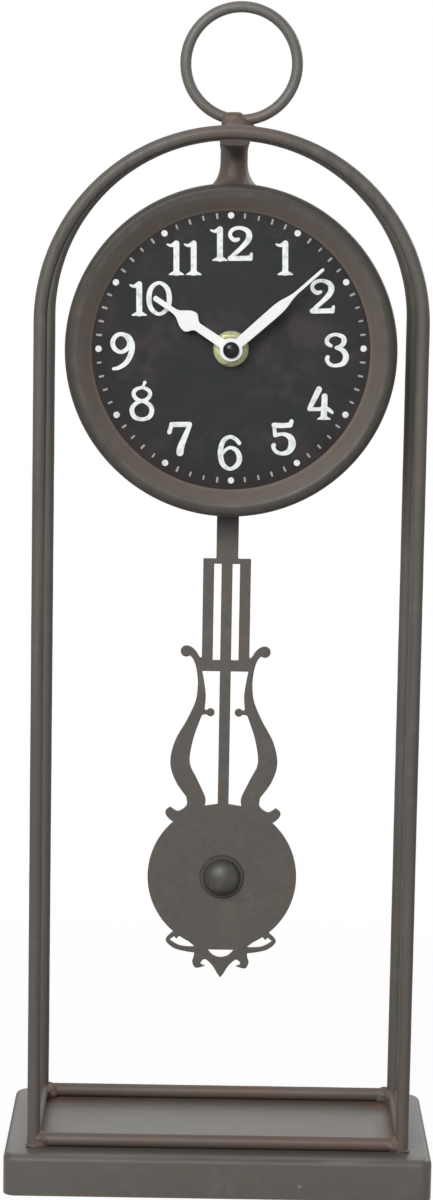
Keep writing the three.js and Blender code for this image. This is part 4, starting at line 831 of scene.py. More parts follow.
def finish_tree(graph, shape, material, last):
    """Every tree ends with realized geometry and its material."""
    real = graph.node("GeometryNodeRealizeInstances", sockets={"Geometry": shape})
    painted = graph.node("GeometryNodeSetMaterial", sockets={"Geometry": real, "Material": material})
    graph.feed(last.inputs[0], painted)
    return graph.tree


def rod_tree():
    """A round rod along a path, slightly out of true as if bent by hand."""
    known = bpy.data.node_groups.get("rod_on_path")
    if known:
        return known
    graph, start, last = geometry_tree("rod_on_path", "Radius", "Sides", "Unevenness")
    path = graph.node("GeometryNodeMeshToCurve", sockets={"Mesh": start})
    ring = graph.node("GeometryNodeCurvePrimitiveCircle", sockets={
        "Resolution": start.twin("Sides"), "Radius": start.twin("Radius")})
    rod = graph.node("GeometryNodeCurveToMesh", sockets={
        "Curve": path, "Profile Curve": ring, "Fill Caps": True})
    rough = graph.node("ShaderNodeTexNoise", sockets={"Scale": 85.0, "Detail": 2.0})
    push = (rough - 0.5) * start.twin("Unevenness") * 2
    normal = graph.node("GeometryNodeInputNormal")
    offset = graph.node("ShaderNodeVectorMath", {"operation": "SCALE"}, {0: normal, "Scale": push})
    bent = graph.node("GeometryNodeSetPosition", sockets={"Geometry": rod, "Offset": offset})
    return finish_tree(graph, bent, start.twin("Material"), last)


def marks_tree():
    """Minute track: a dot at every fifth place of the circle and a tick at the others."""
    graph, start, last = geometry_tree("minute_track", "Track radius", "Dot radius", "Tick width",
                                       "Tick length", "Height")
    track = graph.node("GeometryNodeMeshCircle", sockets={
        "Vertices": 60, "Radius": start.twin("Track radius")})
    index = graph.node("GeometryNodeInputIndex")
    fifth = (index % 5).below(0.5)
    turn = graph.node("ShaderNodeCombineXYZ", sockets={"Z": index * (math.pi / 30)})
    uneven = graph.node("FunctionNodeRandomValue", {"data_type": "FLOAT"}, {
        2: 0.86, 3: 1.12, "ID": index, "Seed": 7}, out=1)
    dot = graph.node("GeometryNodeMeshCylinder", sockets={
        "Vertices": 28, "Radius": start.twin("Dot radius"), "Depth": start.twin("Height")})
    size = graph.node("ShaderNodeCombineXYZ", sockets={
        "X": start.twin("Tick length"), "Y": start.twin("Tick width"), "Z": start.twin("Height")})
    bar = graph.node("GeometryNodeMeshCube", sockets={"Size": size, "Vertices X": 3, "Vertices Y": 2})
    tick = graph.node("GeometryNodeStoreNamedAttribute", {"data_type": "FLOAT"}, {
        "Geometry": bar, "Name": "faint", "Value": 1.0})
    dots = graph.node("GeometryNodeInstanceOnPoints", sockets={
        "Points": track, "Selection": fifth, "Instance": dot, "Rotation": turn})
    ticks = graph.node("GeometryNodeInstanceOnPoints", sockets={
        "Points": track, "Selection": 1 - fifth, "Instance": tick, "Rotation": turn, "Scale": uneven})
    both = graph.tree.nodes.new("GeometryNodeJoinGeometry")
    for part in (dots, ticks):
        graph.feed(both.inputs[0], part)
    return finish_tree(graph, Sock(graph, both.outputs[0]), start.twin("Material"), last)


def grown(name, tree, base, values):
    """The mesh that a tree makes on a base mesh, with the tree's inputs set by name."""
    made = link(name, base)
    modifier = made.modifiers.new(tree.name, "NODES")
    modifier.node_group = tree
    for item in tree.interface.items_tree:
        if item.in_out == "INPUT" and item.name in values:
            modifier[item.identifier] = values[item.name]
    return baked(made)


def path_mesh(name, points, closed=False):
    mesh = bpy.data.meshes.new(name)
    edges = [(index, index + 1) for index in range(len(points) - 1)]
    if closed:
        edges.append((len(points) - 1, 0))
    mesh.from_pydata([Vector(point) * MM for point in points], edges, [])
    return mesh


def rod_mesh(name, path, radius, sides, uneven, material, closed=False):
    """A rod of the bent kind along a path in millimetres."""
    return grown(name, rod_tree(), path_mesh(name, path, closed), {
        "Radius": radius, "Sides": sides, "Unevenness": uneven, "Material": material})


def straight(first, last):
    """Points about 3 mm apart from one place to another."""
    steps = max(2, round(math.dist(first, last) / 3))
    return [tuple(a + (b - a) * index / steps for a, b in zip(first, last)) for index in range(steps + 1)]


def lump(centre, reach, seed, rough=0.12):
    """Corners and faces of an uneven weld lump, in millimetres."""
    steps = 40
    corners = []
    rows = steps // 2
    for row in range(rows + 1):
        tilt = math.pi * row / rows
        for index in range(steps):
            turn = 2 * math.pi * index / steps
            way = Vector((math.sin(tilt) * math.cos(turn), math.sin(tilt) * math.sin(turn), math.cos(tilt)))
            wave = (math.sin(3.1 * way.x + seed) * math.sin(2.7 * way.y + 1.9 * seed)
                    + 0.6 * math.sin(5.3 * way.z + 2.3 * seed + 2 * way.x)
                    + 0.4 * math.sin(7.9 * way.y - seed + 4 * way.z))
            size = 1 + rough * wave
            corners.append([c + r * w * size for c, r, w in zip(centre, reach, way)])
    return corners, skin(rows + 1, steps)


def joined(parts):
    """One list of corners and faces from several."""
    corners = []
    faces = []
    for more, loops in parts:
        start = len(corners)
        corners.extend(more)
        faces.extend([[start + index for index in loop] for loop in loops])
    return corners, faces


class CLOCK_OT_base(bpy.types.Operator):
    """Makes the shallow sheet base, open below, with its soft edges."""

    bl_idname = "clock.base"
    bl_label = "Base"

    def execute(self, context):
        look = context.scene.clock_frame
        low, high = limits("base_tray")
        edge = look.base_edge / MM
        corner = look.base_corner / MM
        gauge = look.base_sheet / MM
        spring = high.z - edge
        # Rings of the pan from the inside out: inset, corner radius, height, and how far the edge is worn,
        # which the base's finish also darkens as painted shade.
        levels = []
        for index in range(6, -1, -1):
            turn = math.pi / 2 * index / 6
            shrink = gauge + (edge - gauge) * (1 - math.cos(turn))
            levels.append((shrink, corner - gauge, spring + (edge - gauge) * math.sin(turn), 0))
        levels += [(gauge, corner - gauge, low.z, 0), (0, corner, low.z, 0)]
        for index in range(9):
            turn = math.pi / 2 * index / 8
            shrink = edge * (1 - math.cos(turn))
            rubbed = math.sin(2 * turn) ** 2
            levels.append((shrink, corner - 0.5 * shrink, spring + edge * math.sin(turn), rubbed))
        levels.append((3 * edge, corner - edge, high.z, 0))
        corners = []
        wear_and_edge_shade = []
        for shrink, radius, height, rubbed in levels:
            ring = rounded(high.x - shrink, high.y - shrink, radius, 12)
            corners.extend((x, y, height) for x, y in ring)
            wear_and_edge_shade.extend([rubbed] * len(ring))
        mesh = mesh_of("base", corners, skin(len(levels), len(corners) // len(levels), capped=True))
        rub(mesh, wear_and_edge_shade)
        piece("base_pan", mesh, "frame", "base_steel", base_steel(look), "base_tray")
        return {"FINISHED"}


class CLOCK_OT_rods(bpy.types.Operator):
    """Makes the two arches, the four rails and the ring on top from bent rods."""

    bl_idname = "clock.rods"
    bl_label = "Rods"

    def execute(self, context):
        look = context.scene.clock_frame
        rods = aged_steel(look, "rod_steel", browning=0.45, gloss=0.15)
        rails = rail_steel(look)
        radius = look.rod_radius / MM
        for node in ("front_arch", "rear_arch"):
            low, high = limits(node)
            half = high.x - radius
            depth = (low.y + high.y) / 2
            spring = high.z - radius - half
            crown = [(x, depth, z) for x, z in arc((0, spring), half, half, 1, 0, 120)]
            path = straight((-half, depth, low.z), crown[0])[:-1] + crown
            path += straight(crown[-1], (half, depth, low.z))[1:]
            self.rod(look, node + "_rod", path, look.rod_radius, rods, node)
        for node in ("front_rail", "rear_rail", "left_rail", "right_rail"):
            low, high = limits(node)
            heart = (low + high) / 2
            along = Vector((1, 0, 0)) if high.x - low.x > high.y - low.y else Vector((0, 1, 0))
            reach = along * ((high - low).dot(along) / 2)
            path = straight(heart - reach, heart + reach)
            self.rod(look, node + "_rod", path, look.rod_radius, rails, node)
        low, high = limits("finial_ring")
        heart = (low + high) / 2
        path = [(x, 0, z) for x, z in circle(heart.x, heart.z, high.x - heart.x - look.ring_rod / MM, 128)]
        ring = aged_steel(look, "ring_steel", steel=look.ring_grey, dark=look.steel)
        self.rod(look, "ring_rod", path, look.ring_rod, ring, "finial_ring", closed=True)
        return {"FINISHED"}

    @staticmethod
    def rod(look, name, path, radius, material, node, closed=False):
        mesh = rod_mesh(name, path, radius, look.rod_sides, look.uneven, material, closed)
        piece(name, mesh, "frame", "aged_steel", material, node)


class CLOCK_OT_crown(bpy.types.Operator):
    """Makes the bridge, the knuckle under the ring and the hanger tube."""

    bl_idname = "clock.crown"
    bl_label = "Crown"

    def execute(self, context):
        look = context.scene.clock_frame
        steel = weld_steel(look)
        # Painted shade: the bar is coloured dark for the shadow of the arches.
        bar = aged_steel(look, "bridge_steel", steel=look.bridge_brown, pale=look.steel_brown,
                         brown=look.bridge_brown)
        low, high = limits("top_bridge")
        heart = (low.z + high.z) / 2
        outline = raised(heart, *rounded(high.x, high.z - heart, 1.4, 6))
        mesh = sheet("bridge", [clean(outline)], low.y - 0.3, high.y + 0.3, 0.3)
        piece("bridge_bar", mesh, "frame", "aged_steel", bar, "top_bridge")
        low, high = limits("ring_saddle")
        piece("ring_knuckle", self.knuckle(low.z - 1, high.z), "frame", "aged_steel", steel, "ring_saddle")
        tube = aged_steel(look, "hanger_steel", steel=look.steel_brown, browning=0.9,
                          dark_spot=(0.0012, -0.005, CROWN - 0.0097))
        piece("hanger", self.hanger(), "frame", "aged_steel", tube, "hanger_tube")
        return {"FINISHED"}

    @staticmethod
    def knuckle(bottom, top):
        """Brazed lump that holds the ring: upright on the left, sloped on the right."""
        def squarish(value):
            return math.copysign(abs(value) ** 0.75, value)

        # Share of the height, middle from left to right, half width and half depth.
        rows = flowing([
            (0, 1.5, 7.1, 5.2), (0.2, 1.3, 6.6, 5), (0.38, 0.5, 5.6, 4.7), (0.57, -0.1, 4.8, 4.3),
            (0.76, -0.55, 4.1, 3.9), (0.9, -0.5, 3.5, 3.3), (0.97, -0.3, 2.7, 2.5), (1, -0.1, 1.5, 1.4)], 6)
        corners = []
        steps = 48
        for share, heart, wide, deep in rows:
            for index in range(steps):
                turn = 2 * math.pi * index / steps
                wave = 1 + 0.04 * math.sin(3 * turn + 5 * share) + 0.02 * math.sin(7 * turn - 9 * share)
                x = wide * wave * squarish(math.cos(turn))
                y = deep * wave * squarish(math.sin(turn))
                corners.append((heart + x, y, bottom + (top - bottom) * share))
        return mesh_of("knuckle", corners, skin(len(rows), steps, capped=True))

    @staticmethod
    def hanger():
        """Short tube with a flared, welded foot that follows the drum."""
        high = limits("hanger_tube")[1]
        drum = limits("drum_case")[1].x
        seat = DIAL_AXIS[2] + drum
        bore = 3.4
        tube = 5.15
        collar = 5.45
        foot = 10.15
        profile = [(bore, seat - 1.0), (foot + 0.05, seat - 1.0), (foot, seat - 0.2)]
        profile += arc((foot, seat + 8.6), foot - tube, 8.5, 1.5, 1, 14)
        profile += raised(high.z, (tube, -2), (5.3, -1), (collar, -0.3), (collar, 0.4), (bore, 0.4))
        corners, faces = lathe(profile, 72, (0, 0, 0), (0, 0, 1), closed=True)
        shaped = []
        for x, y, z in corners:
            share = max(0.0, min(1.0, 1 - (z - seat) / 6))
            lean = math.atan2(y, x)
            wave = 1 + 0.035 * share * math.sin(5 * lean + 1) + 0.02 * share * math.sin(9 * lean)
            shaped.append((x * wave, y * wave, z - share * x * x / (2 * drum)))
        return mesh_of("hanger", shaped, faces)


class CLOCK_OT_welds(bpy.types.Operator):
    """Makes the weld lumps at the feet, the rails' corners and the apex."""

    bl_idname = "clock.welds"
    bl_label = "Welds"

    def execute(self, context):
        look = context.scene.clock_frame
        steel = weld_steel(look)
        brown = rail_steel(look)
        rail = middle("front_rail") / MM
        rod = look.rod_radius / MM
        half = limits("front_arch")[1].x - rod
        table = limits("base_tray")[1].z
        feet = []
        for side in (-1, 1):
            for end in (-1, 1):
                x = side * half
                y = end * abs(rail.y)
                seed = 1.3 + side * 0.7 + end * 2.1
                feet += [
                    lump((x, y, table + 0.6), (3, 2.9, 1.2), seed),
                    lump((x - side * 2.8, y - end * 0.3, rail.z - 0.5), (4.4, 3.4, 3.3), seed + 1, 0.11),
                    lump((x - side * 0.6, y - end * 2.5, rail.z - 0.4), (3.1, 4, 3.1), seed + 2, 0.11),
                ]
        piece("foot_welds", mesh_of("feet", *joined(feet)), "frame", "aged_steel", brown)
        self.seam(look, half, rail.y, table + 0.8)
        bridge = limits("top_bridge")[1].z
        tops = []
        for end, arch in ((-1, "front_arch"), (1, "rear_arch")):
            apex = limits(arch)[1].z - rod
            y = end * (abs(rail.y) - 2.2)
            tops.append(lump((0, y, apex + 0.2), (6.4, 2.2, 2.2), 2.2 + end, 0.1))
            tops.append(lump((0.8, end * 3.0, bridge - 0.2), (6.4, 3.4, 1.3), 4.1 + end, 0.1))
        piece("apex_welds", mesh_of("tops", *joined(tops)), "frame", "aged_steel", steel)
        return {"FINISHED"}

    @staticmethod
    def seam(look, half, depth, height):
        """Dark bead that closes the gap between the rails and the base; its dark colour is painted shade
        along their contact.
        """
        turns = [(x * half, y * depth, height) for x, y in ((1, 1), (-1, 1), (-1, -1), (1, -1))]
        path = []
        for first, last in zip(turns, turns[1:] + turns[:1]):
            path += straight(first, last)[:-1]
        # Painted shade: near-black tones for the shade under the rails.
        steel = aged_steel(look, "seam_steel", srgb(46, 40, 36), srgb(36, 31, 28), srgb(60, 54, 49),
                           srgb(52, 43, 38), gloss=0.1)
        mesh = rod_mesh("seam", path, 1.25 * MM, 16, 0.25 * MM, steel, closed=True)
        piece("rail_contact_shade", mesh, "frame", "aged_steel", steel)


class CLOCK_OT_drum(bpy.types.Operator):
    """Makes the drum, its rolled bezel, the lens and the dial's ledge."""

    bl_idname = "clock.drum"
    bl_label = "Drum"

    def execute(self, context):
        look = context.scene.clock_frame
        steel = aged_steel(look, "drum_steel", browning=0.4, stretch=(0.3, 1, 0.3), gloss=0.15)
        low, high = limits("drum_case")
        radius = high.x
        gauge = 1.2
        corner = 4.0
        window = 42.0
        heart = (radius - corner, high.y - corner)
        inner = corner - gauge
        profile = [(window + 0.3, high.y), *arc(heart, corner, corner, 0.5, 0, 10)]
        profile += raised(low.y, (radius, 0.2), (radius - 0.2, 0), (radius - gauge, 0))
        profile += arc(heart, inner, inner, 0, 0.5, 8)
        profile += raised(high.y, (window, -gauge), (window, -0.3))
        made = link("drum", turned("drum", profile, 192, DIAL_AXIS, closed=True))
        slot_x = 9.56
        slot_y = 2.35
        outline = raised(DIAL_AXIS[2] - radius, (-slot_x, -4), (slot_x, -4), (slot_x, 4), (-slot_x, 4))
        cutter = link("slot", sheet("slot", [outline], -slot_y, slot_y, 0.2))
        slot = made.modifiers.new("slot", "BOOLEAN")
        slot.operation = "DIFFERENCE"
        slot.solver = "EXACT"
        slot.object = cutter
        mesh = baked(made)
        bpy.data.objects.remove(cutter)
        piece("drum_shell", mesh, "frame", "aged_steel", steel, "drum_case")
        low, high = limits("bezel_ring")
        bezel = aged_steel(look, "bezel_steel", stretch=(0.4, 1, 0.4), inner=0.0566, gloss=0.15)
        mesh = turned("bezel", self.bezel(high.x, low.y, high.y), 224, DIAL_AXIS, closed=True)
        made = piece("bezel_roll", mesh, "frame", "aged_steel", bezel, "bezel_ring")
        # The dial lies deep behind the bezel, whose shadow would darken the print, so it throws none.
        made.visible_shadow = False
        keep_nodes(clear_glass(), "dial_lens")
        keep_nodes(steel, "dial_ring")
        return {"FINISHED"}

    @staticmethod
    def bezel(outer, front, back):
        """Section of the bezel: rounded rim, flat crest, a face sloped in to a rolled edge, and skirt."""
        crown = 4.6
        slope = 5.7
        rim = 2.4
        shoulder = 2.6
        roll = 0.45
        gauge = 1.0
        edge = outer - 10.1
        incline = math.atan2(crown, slope) / math.pi
        top = front + shoulder
        heart = edge + slope + shoulder * math.tan(incline * math.pi / 2)
        points = [(outer - gauge, back), (outer - 0.2, back), (outer, back - 0.2)]
        points += arc((outer - rim, front + rim), rim, -rim, 0, 0.5, 10)
        points += arc((heart, top), shoulder, -shoulder, 0.5, 0.5 + incline, 10)
        points += arc((edge + roll, front + crown - roll), roll, -roll, 0.5 + incline, 1.3, 8)
        points += [(edge + 1.6, front + crown)]
        points += arc((heart, top), shoulder - gauge, gauge - shoulder, 0.5 + incline, 0.5, 4)
        return points + arc((outer - rim, front + rim), rim - gauge, gauge - rim, 0.5, 0, 6)


# Brush strokes of the figures: points with half widths, in figure heights from the lower left corner.
FIGURES = {
    "0": [[(.375, .95, .05), (.15, .8, .068), (.08, .5, .075), (.15, .2, .068), (.375, .05, .05),
          (.6, .2, .068), (.67, .5, .075), (.6, .8, .068), (.375, .95, .05)]],
    "1": [[(.3, .07, .085), (.3, .5, .085), (.3, .91, .085)], [(.27, .9, .07), (.14, .85, .045),
          (.04, .885, .026)], [(.28, .03, .05), (.3, .05, .1), (.32, .03, .05)]],
    "2": [[(.33, .625, .05), (.235, .6, .062), (.135, .66, .06), (.09, .77, .055), (.17, .9, .055),
          (.36, .95, .052), (.57, .88, .07), (.645, .73, .085), (.58, .55, .08), (.4, .36, .065),
          (.2, .18, .06), (.12, .09, .06)], [(.1, .075, .075), (.4, .075, .07), (.66, .085, .075)],
          [(.68, .065, .06), (.705, .2, .042)]],
    "3": [[(.22, .62, .05), (.115, .7, .062), (.11, .82, .058), (.22, .92, .052), (.37, .95, .05),
          (.55, .885, .065), (.6, .765, .075), (.53, .63, .065), (.37, .565, .048)], [(.37, .565, .048),
          (.56, .49, .07), (.655, .31, .085), (.58, .12, .075), (.37, .05, .052), (.19, .09, .055),
          (.1, .22, .055), (.125, .29, .062)]],
    "4": [[(.36, .91, .09), (.23, .64, .082), (.08, .345, .062)], [(.07, .315, .058), (.35, .315, .058),
          (.56, .345, .058), (.68, .28, .058), (.755, .215, .048)], [(.53, .7, .088), (.52, .4, .092),
          (.505, .08, .094)]],
    "5": [[(.11, .835, .072), (.35, .825, .07), (.55, .84, .07)], [(.55, .845, .062), (.585, .94, .06)],
          [(.115, .84, .055), (.12, .7, .05), (.14, .56, .06)], [(.16, .56, .05), (.36, .59, .05),
          (.55, .5, .082), (.605, .31, .1), (.52, .12, .082), (.33, .053, .053), (.16, .11, .052),
          (.08, .25, .052), (.11, .29, .056)]],
    "6": [[(.6, .77, .055), (.5, .88, .055), (.345, .947, .053), (.16, .83, .065), (.075, .52, .073),
          (.14, .19, .07), (.345, .053, .052), (.545, .17, .068), (.605, .36, .075), (.53, .56, .065),
          (.36, .645, .048), (.22, .58, .045), (.12, .47, .05)]],
    "7": [[(.16, .92, .072), (.42, .925, .074), (.68, .925, .074)], [(.16, .91, .06), (.115, .78, .058),
          (.095, .7, .066)], [(.69, .91, .06), (.62, .74, .07), (.5, .46, .086), (.42, .24, .1),
          (.4, .1, .104)]],
    "8": [[(.36, .955, .045), (.18, .89, .055), (.125, .77, .058), (.2, .64, .058), (.36, .575, .055),
          (.52, .64, .058), (.595, .77, .058), (.54, .89, .055), (.36, .955, .045)], [(.36, .575, .055),
          (.15, .47, .06), (.075, .31, .068), (.15, .12, .065), (.36, .05, .052), (.57, .12, .065),
          (.645, .31, .068), (.57, .47, .06), (.36, .575, .055)], [(.37, .96, .045), (.42, 1.04, .035),
          (.445, 1.1, .05)]],
    "9": [[(.27, .945, .05), (.12, .87, .058), (.06, .71, .062), (.12, .56, .058), (.27, .485, .05),
          (.42, .56, .055), (.49, .71, .06), (.42, .87, .055), (.27, .945, .05)], [(.3, .945, .05),
          (.47, .87, .06), (.555, .68, .07), (.53, .45, .07), (.41, .22, .062), (.22, .085, .052),
          (.08, .055, .04)]],
}
# Ends of the serifs that two figures stand on, and the width of the one that is narrower than the rest.
FEET = {"1": (.08, .52), "4": (.31, .71)}
FIGURE_WIDTHS = {"1": .5}
# Millimetres and shares by which single numbers depart from the even circle and height.
FIGURE_NUDGES = {3: (0.2, -0.5), 4: (-0.8, -0.8), 5: (0.2, 0.6), 8: (0.6, -1), 9: (-0.6, -1),
                 10: (3.8, -0.8), 11: (1.8, 0)}
FIGURE_SCALES = {4: 0.97, 5: 1.06, 6: 1.05, 8: 1.02, 9: 1.13}


def stroke(points):
    """Polygons of one brush stroke; it closes where it ends on its first point."""
    closed = points[0] == points[-1]
    run = flowing(points[:-1] if closed else points, 7, closed)
    sides = []
    for index, (x, z, half) in enumerate(run):
        before = run[index - 1] if closed or index else run[0]
        after = run[(index + 1) % len(run)] if closed or index < len(run) - 1 else run[-1]
        along = Vector((after[0] - before[0], after[1] - before[1])).normalized()
        sides.append(((x - along.y * half, z + along.x * half), (x + along.y * half, z - along.x * half)))
    pairs = list(zip(sides, sides[1:]))
    if closed:
        pairs.append((sides[-1], sides[0]))
    polygons = [[first[0], first[1], second[1], second[0]] for first, second in pairs]
    if not closed:
        polygons.extend(circle(x, z, half, 18) for x, z, half in (run[0], run[-1]))
    return polygons


def number_shape(text):
    """Polygons of a number, in figure heights from the middle of its box."""
    polygons = []
    start = 0.0
    wide = 0.0
    for sign in text:
        parts = [polygon for line in FIGURES[sign] for polygon in stroke(line)]
        if sign in FEET:
            left, right = FEET[sign]
            parts.append([(left, 0), (right, 0), (right, .03), (right - .12, .11), (left + .12, .11),
                          (left, .03)])
        polygons.extend([[(x + start, z) for x, z in polygon] for polygon in parts])
        wide = start + FIGURE_WIDTHS.get(sign, .74)
        start += FIGURE_WIDTHS.get(sign, .78)
    return [[(x - wide / 2, z - 0.5) for x, z in polygon] for polygon in polygons]


def on_dial(x, z, turn):
    """A point given from the dial's centre, turned round it."""
    sine = math.sin(turn)
    cosine = math.cos(turn)
    return (DIAL_AXIS[0] + x * cosine - z * sine, DIAL_AXIS[2] + x * sine + z * cosine)


class CLOCK_OT_dial(bpy.types.Operator):
    """Paints the dial: charcoal ground, minute track and hour numbers."""

    bl_idname = "clock.dial"
    bl_label = "Dial"

    def execute(self, context):
        look = context.scene.clock_dial
        keep_nodes(dial_paint(look), "dial_plate")
        white = painted_white("print_white", look.white, 0.55)
        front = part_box("dial_plate")[0].y
        mesh = grown("minute_track", marks_tree(), bpy.data.meshes.new("track"), {
            "Track radius": look.track_radius, "Dot radius": look.dot_radius, "Tick width": look.tick_width,
            "Tick length": look.tick_length, "Height": look.print_height, "Material": white})
        mesh.transform(Matrix.Translation((DIAL.x, front - 0.4 * look.print_height, DIAL.z))
                       @ Matrix.Rotation(-look.turn, 4, "Y") @ Matrix.Rotation(math.pi / 2, 4, "X"))
        piece("minute_track", mesh, "frame", "hand_white", white)
        tall = look.figure_height / MM
        parts = []
        for hour in range(1, 13):
            turn = math.radians(30 * hour)
            nudge = FIGURE_NUDGES.get(hour, (0, 0))
            scale = tall * FIGURE_SCALES.get(hour, 1)
            x = look.figure_radius / MM * math.sin(turn) + nudge[0]
            z = look.figure_radius / MM * math.cos(turn) + nudge[1]
            shapes = [[on_dial(x + scale * a, z + scale * b, look.turn) for a, b in polygon]
                      for polygon in number_shape(str(hour))]
            loops = [clean(loop) for loop in union(shapes)]
            loops = [loop for loop in loops if len(loop) > 2 and abs(area(loop)) > 0.01]
            mesh = sheet("figure", loops, (front - look.print_height) / MM, front / MM + 0.02, 0.015)
            parts.append(taken(mesh))
        piece("hour_numbers", mesh_of("numbers", *joined(parts)), "frame", "hand_white", white)
        return {"FINISHED"}


class CLOCK_OT_hands(bpy.types.Operator):
    """Makes the two white hands, the black cap and the brass under them."""

    bl_idname = "clock.hands"
    bl_label = "Hands"

    def execute(self, context):
        look = context.scene.clock_dial
        white = painted_white("hand_white", look.hand_white, 0.08)
        brass = turned_brass(look.brass)
        low, high = limits("hour_hand")
        hour = [(1.85, 0), (1.6, 14.8)] + swell((1.6, 14.8), (4.1, 18.6)) + swell((4.1, 18.6), (1, 26.2))
        hour += [(1, 34.3), (0.7, 34.85), (0.25, 35)]
        shown = look.hour + look.minute / 60
        mesh = self.blade(hour, look.turn - math.radians(30 * shown), high.y - 0.5, high.y, HOUR_BORE)
        profile = [(HOUR_BORE, low.y), (HUB - 0.15, low.y), (HUB, low.y + 0.15), (HUB, high.y),
                   (HOUR_BORE, high.y)]
        collet = lathe(profile, 64, DIAL_AXIS, (0, 1, 0), closed=True)
        mesh = mesh_of("hour", *joined([taken(mesh), collet]))
        piece("hour_hand_blade", mesh, "hour", "hand_white", white, "hour_hand")
        low, high = limits("minute_hand")
        minute = [(1.75, 0)] + bend((1.75, 0), (2.1, 11.25), (2.1, 22.5)) + swell((2.1, 22.5), (0.6, 33.5))
        minute += [(0.6, 45.3), (0.45, 45.8), (0.15, 46)]
        mesh = self.blade(minute, look.turn - math.radians(6 * look.minute), low.y, high.y, MINUTE_BORE)
        piece("minute_hand_blade", mesh, "minute", "hand_white", white, "minute_hand")
        low, high = limits("hand_cap")
        radius = high.x
        profile = raised(high.y, (0, -1.4), (1.3, -1.4), (1.3, 0), (radius - 0.1, 0), (radius, -0.12),
                         (radius, -0.5))
        profile += arc((0, high.y - 0.5), radius, low.y - high.y + 0.5, 0, 0.5, 16)[1:-1] + [(0, low.y)]
        black = plain_finish("cap_gloss", srgb(10, 10, 11), srgb(16, 16, 17), 260, 0.14, gloss=0.25)
        mesh = turned("cap", profile, 64, DIAL_AXIS)
        piece("hand_cap_dome", mesh, "minute", "cap_black", black, "hand_cap")
        low, high = limits("brass_washer")
        radius = high.x
        bore = 4.1
        profile = [(bore, low.y), (radius - 0.25, low.y), (radius, low.y + 0.25), (radius, high.y),
                   (bore, high.y)]
        mesh = turned("washer", profile, 96, DIAL_AXIS, closed=True)
        piece("washer_disc", mesh, "frame", "pale_brass", brass, "brass_washer")
        softened("hand_nut", 0.3, "nut_hex", "frame", "pale_brass", brass)
        keep_nodes(brass, "shaft_bush")
        rubber = plain_finish("rubber", srgb(24, 24, 24), srgb(34, 33, 33), 300, 0.85, gloss=0.3)
        keep_nodes(rubber, "rubber_washer")
        return {"FINISHED"}

    @staticmethod
    def blade(half, turn, front, back, bore):
        """A hand from half its outline, its hub and its bore, turned to its place."""
        outline = half + mirrored(half)
        outer = max(union([clean(outline), circle(0, 0, HUB, 56)]), key=area)
        loops = [clean(outer), circle(0, 0, bore, 32)[::-1]]
        placed = [[on_dial(x, z, turn) for x, z in loop] for loop in loops]
        return sheet("blade", placed, front, back, 0.1)


def lyre(*pairs):
    """Points of the lyre, with heights as shares of its own height above the disc."""
    return [(x, BOB_HEIGHT + DISC + LYRE_HEIGHT * share) for x, share in pairs]


def on_rim(degrees):
    """Point of the disc's rim, by its angle from the right."""
    turn = math.radians(degrees)
    return (DISC * math.cos(turn), BOB_HEIGHT + DISC * math.sin(turn))


def rim_height(x, side=-1):
    """Height of the disc's rim at a place from left to right, below the centre or above it."""
    return BOB_HEIGHT + side * math.sqrt(DISC ** 2 - x * x)


def plate_outline():
    """Right half of the pendulum's outline, from the strap's top down to the spike."""
    strap = limits("pendulum_plate")[1].z
    ball_x = 15.15
    ball_z = GRID_FOOT + 3.35
    ball = 2.15
    points = [(0, strap), (3.7, strap), (4.2, strap - 0.5)]
    points += raised(GRID_TOP, (4.2, 0), (8.9, 0), (9.15, -0.3))
    points += raised(GRID_FOOT, (9.15, 1.2), (9.35, 0.9), (9.75, 0.9))
    points += bend((10.05, GRID_FOOT + 1), (ball_x - 3, ball_z + ball), (ball_x, ball_z + ball))
    points += arc((ball_x, ball_z), ball, ball, 0.5, -0.72, 22)[1:]
    points += bend(points[-1], (11, GRID_FOOT), *lyre((10.5, 0.91)))
    follow(points, *lyre((11.2, 0.78), (14.5, 0.63), (19, 0.47), (20.7, 0.31), (18.6, 0.17), (14.3, 0.05)))
    root_x, root_z = on_rim(HORN_ANGLE)
    follow(points, (root_x - 5, root_z + 6.5), (root_x - 1.8, root_z + 4.2), (root_x + 1.2, root_z + 5.8))
    points += bend(points[-1], (root_x + 4, root_z + 4.5), (root_x + 2.8, root_z + 2.5))
    points += bend(points[-1], (root_x + 1.6, root_z + 0.7), (root_x, root_z))
    points += arc((0, BOB_HEIGHT), DISC, DISC, HORN_ANGLE / 180, LOOP_ANGLE / 180, 60)[1:]
    follow(points, *raised(DISC_FOOT, (21.5, 3.4), (18.5, 0.2), (14, -1.1), (10.35, -1.6)))
    follow(points, *raised(DISC_FOOT, (10.5, -3.4), (11, -5.4), (9.6, -7.7), (6.1, -6.9)))
    follow(points, *raised(DISC_FOOT, (7.8, -5.9), (6.1, -4.2), (3.3, -6.5), (1.2, -9.9)))
    return points + [(0, DISC_FOOT - 11.5)]


